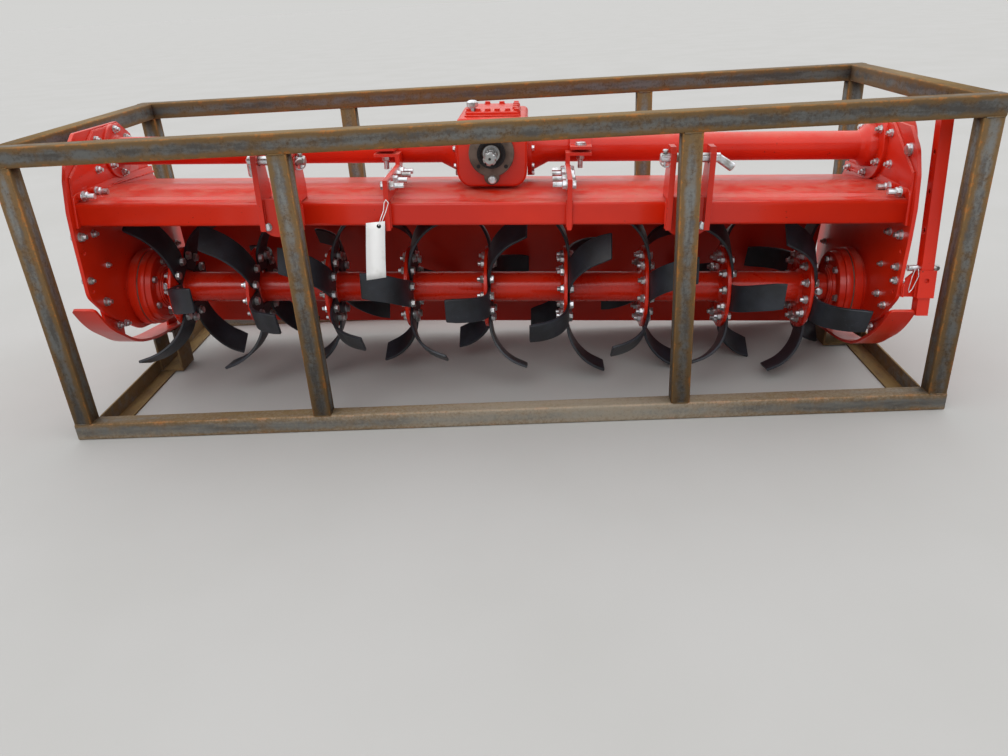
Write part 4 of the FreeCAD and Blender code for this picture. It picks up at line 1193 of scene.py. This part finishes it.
def makeLinkPins():
    mesh, bolts, welds = bmesh.new(), bmesh.new(), bmesh.new()
    for side in (-1, 1):
        y, z, radius = linkLook.y, linkLook.z, linkLook.radius
        inner, outer = side * linkLook.inner, side * linkLook.outer
        length = abs(outer - inner)
        turnedOn(mesh, ((0, 0), (0, radius - 2.5), (2.5, radius), (length - 1, radius), (length, radius - 1),
                        (length, 0)), (inner, y, z), (side, 0, 0), 32)
        start = Vector((outer - side * linkLook.handleIn, y, z))
        handle = Vector((side * linkLook.handle[side][0], *linkLook.handle[side][1:]))
        ending = [(handle.length + back, wide) for back, wide in linkLook.handleEnd]
        turnedOn(mesh, (*linkLook.handleLine, *ending), start, handle, 24)
        at = Vector((side * linkLook.pinAt, y, z))
        addRod(mesh, linkLook.pin, at + Vector((0, 0, linkLook.pinUp)), at - Vector((0, 0, linkLook.pinDown)),
               16)
        turnedOn(mesh, linkLook.cap, at + Vector((0, 0, linkLook.capUp)), (0, 0, 1), 16)
        ringAround(mesh, linkLook.ring, linkLook.wire, at + Vector(linkLook.ringAt), (0.55 * side, 1, 0.35))
        middle, plate = side * linkLook.bracket, linkLook.plate
        boltAt(bolts, "head", "middle", (middle + side * linkLook.boltOut, plate, linkLook.boltLow),
               (0, -1, 0), 9)
        low, high = linkLook.cheekWeld
        for seed, offset in enumerate(linkLook.cheeks):
            for face in linkLook.cheekFaces:
                x = middle + offset + face
                weldBead(welds, (x, plate - 1, low), (x, plate - 1, high), 2.8, seed + face + 120)
        front, low, high = linkLook.footWeld
        for edge in (-1, 1):
            x = middle + edge * linkLook.half
            weldBead(welds, (x, front, low), (x, front, high), 3, 140 + edge)
    makePiece("lowerLinkPins", mesh, "zinc", stands=["lower_link_pins"])
    makePiece("linkBolts", bolts, "zinc")
    makePiece("linkWelds", welds, "red", smooth=60)


makeLinkPins()

# Stand: its pin with a flat head, a knob and a wire clip, in the stand's own leaned frame
standLook = Look(z=5.05, radius=5, head=(-45, -19), knob=(17.5, 35.5), wire=1.1,
             clip=((-31, -14, 2), (-40, -22, -14), (-46, -24, -46), (-44, -24, -54), (-38, -24, -47),
                      (-25, -24, -12), (-22, -12, 4)),
             reach=34, rise=0.06, bead=2.6,
             welds=(((-20.5, -6, -68), (-20.5, -6, -4)), ((-54, -6, -68), (-54, -6, -36)),
                       ((-54, -14, -68), (-54, -14, -36))))


def wireAlong(mesh, points, radius):
    for start, end in zip(points, points[1:]):
        addRod(mesh, radius, start, end, 8)
    for point in points:
        bmesh.ops.create_icosphere(mesh, subdivisions=1, radius=radius, matrix=Matrix.Translation(point))


def makeStandPin():
    mesh, knob = bmesh.new(), bmesh.new()
    z = standLook.z
    addRod(mesh, standLook.radius, (-standLook.reach, 0, z), (standLook.reach, 0, z), 24)
    low, high = standLook.head
    turnedOn(mesh, ((0, 0), (0, 7), (1.5, 8.5), (high - low - 4, 8.5), (high - low - 2, 6), (high - low, 6)),
             (low, 0, z), (1, 0, standLook.rise), 20)
    wireAlong(mesh, standLook.clip, standLook.wire)
    low, high = standLook.knob
    turnedOn(knob, ((0, 0), (0, 7), (3, 8.6), (high - low - 6, 8.6), (high - low - 2, 6.5), (high - low, 0)),
             (low, 0, z), (1, 0, 0), 20)
    makePiece("standPin", mesh, "zinc", body="stand", place=stood, stands=["stand_pin"])
    makePiece("standKnob", knob, "bright", body="stand", place=stood)
    welds = bmesh.new()
    for start, end in standLook.welds:
        weldBead(welds, start, end, standLook.bead, int(-start[1] * 3))
    makePiece("standWelds", welds, "red", place=stood, smooth=60)


makeStandPin()

# Skids: a rounded strip with turned-up nose and its two tabs
skidLook = Look(
    line=((-318, 42), (-270, -30), (-140, -128), (-35, -161), (190, -195)), wall=8, middle=1081,
    width=66, bend=42, nose=12, nearEnd=12, noseReach=13, tabStart=1076, tabWall=8,
    front=((-215, 40), (-235, 10), (-228, -57), (-150, -115), (-144, -60), (-160, 40)),
    rear=((112, -95), (120, -180), (180, -189), (186, -95)),
    bolts=((-196, 12, False), (-186, -52, True), (148, -118, True)),
)


def offsetLine(points, wall):
    # The line moved to its left by a wall's thickness, mitred at its bends
    runs = [Vector(end) - Vector(start) for start, end in zip(points, points[1:])]
    sides = [Vector((-run.y, run.x)).normalized() for run in runs]
    moved = []
    for number, point in enumerate(points):
        first, second = sides[max(0, number - 1)], sides[min(number, len(sides) - 1)]
        middle = (first + second).normalized()
        moved.append(Vector(point) + middle * wall / middle.dot(first))
    return moved


def makeSkids():
    for side, name in ((-1, "Left"), (1, "Right")):
        mesh = bmesh.new()
        low = skidLook.middle * side - skidLook.width / 2
        line = list(skidLook.line)
        upper = offsetLine(line, skidLook.wall)
        addPlate(mesh, line + [tuple(point) for point in reversed(upper)], low, skidLook.width)
        ends = line[0][0], line[-1][0]
        across = []
        nose = []
        for edge in mesh.edges:
            start, end = (vert.co for vert in edge.verts)
            crosses = abs(start.x - end.x) > 1
            if crosses and min(abs(start.y - place) for place in ends) > skidLook.nearEnd:
                across.append(edge)
            elif (not crosses and max(start.y, end.y) < ends[0] + skidLook.noseReach
                  and (start - end).length < skidLook.nearEnd):
                nose.append(edge)
        for edges, size in ((nose, skidLook.nose), (across, skidLook.bend)):
            kept = [edge for edge in edges if edge.is_valid]
            roundEdges(mesh, kept, size, 5)
        start = side * skidLook.tabStart
        for tab in (skidLook.front, skidLook.rear):
            bevelled(mesh, 1, 1, 35, addPlate(mesh, tab, start, side * skidLook.tabWall))
        makePiece(f"skid{name}", mesh, "red", stands=[f"skid_{name.lower()}"], modifiers=[edgeBreak(0.9, 50)])
        bolts = bmesh.new()
        face = side * (skidLook.tabStart + skidLook.tabWall)
        for y, z, nutShows in skidLook.bolts:
            boltAt(bolts, "head", "large", (face, y, z), (side, 0, 0), y)
            if nutShows:
                boltAt(bolts, "nut", "middle", (side * plateLook.inner, y, z), (-side, 0, 0), z)
        makePiece(f"skidBolts{name}", bolts, "zinc")


makeSkids()

# Blank tag on a thin tie round the left mast bracket
tagLook = Look(corners=((-296.4, 272.2), (-247.2, 277.2), (-256.9, 126.6), (-309.3, 118.3)), y=-291,
           hole=(-263.7, 264.3), wall=0.5, steps=8, bow=5,
           eyelet=((0, 0), (0, 5.6), (0.9, 5.6), (1.4, 4.6), (1.4, 0)),
           tie=((-263.7, -293, 266.3), (-257.7, -290, 284.3), (-250, -285, 302), (-247, -284.5, 322),
                   (-242, -284.3, 330), (-236, -284.3, 322), (-244, -287, 300), (-258.7, -291, 268.3)))


def makeTag():
    mesh, tie = bmesh.new(), bmesh.new()
    topLeft, topRight, lowRight, lowLeft = (Vector(corner) for corner in tagLook.corners)
    rows = []
    for number in range(tagLook.steps + 1):
        share = number / tagLook.steps
        bow = tagLook.bow * math.sin(share * 2.6) - share * 5
        rows.append([mesh.verts.new((point.x, tagLook.y - bow, point.y)) for point in
                     (topLeft.lerp(lowLeft, share), topRight.lerp(lowRight, share))])
    for first, second in zip(rows, rows[1:]):
        mesh.faces.new((first[0], second[0], second[1], first[1]))
    facedOut(mesh)
    makePiece("tagBlank", mesh, "tag", modifiers=[wallOf(tagLook.wall, 0)])
    x, z = tagLook.hole
    eyelet = bmesh.new()
    turnedOn(eyelet, tagLook.eyelet, (x, tagLook.y - 0.3, z), (0, -1, 0), 24)
    makePiece("tagEyelet", eyelet, "rubber")
    wireAlong(tie, tagLook.tie, 1)
    makePiece("tagTie", tie, "tag")


makeTag()

# Rear board: its stiffeners
boardLook = Look(ribs=(-700, -233, 233, 700), line=((292, 118), (307, 0), (309, -60), (304, -150), (298, -205)),
             deep=22, wall=6)


def makeBoardDetails():
    mesh = bmesh.new()
    line = boardLook.line
    outline = list(line) + [(y + boardLook.deep * (0.25 if number in (0, len(line) - 1) else 1), z)
                            for number, (y, z) in reversed(list(enumerate(line)))]
    for x in boardLook.ribs:
        bevelled(mesh, 0.8, 1, 35, addPlate(mesh, outline, x, boardLook.wall))
    makePiece("boardRibs", mesh, "red", body="board")


makeBoardDetails()
print("plates, tubes, brackets, skids, stand and tag detailed")
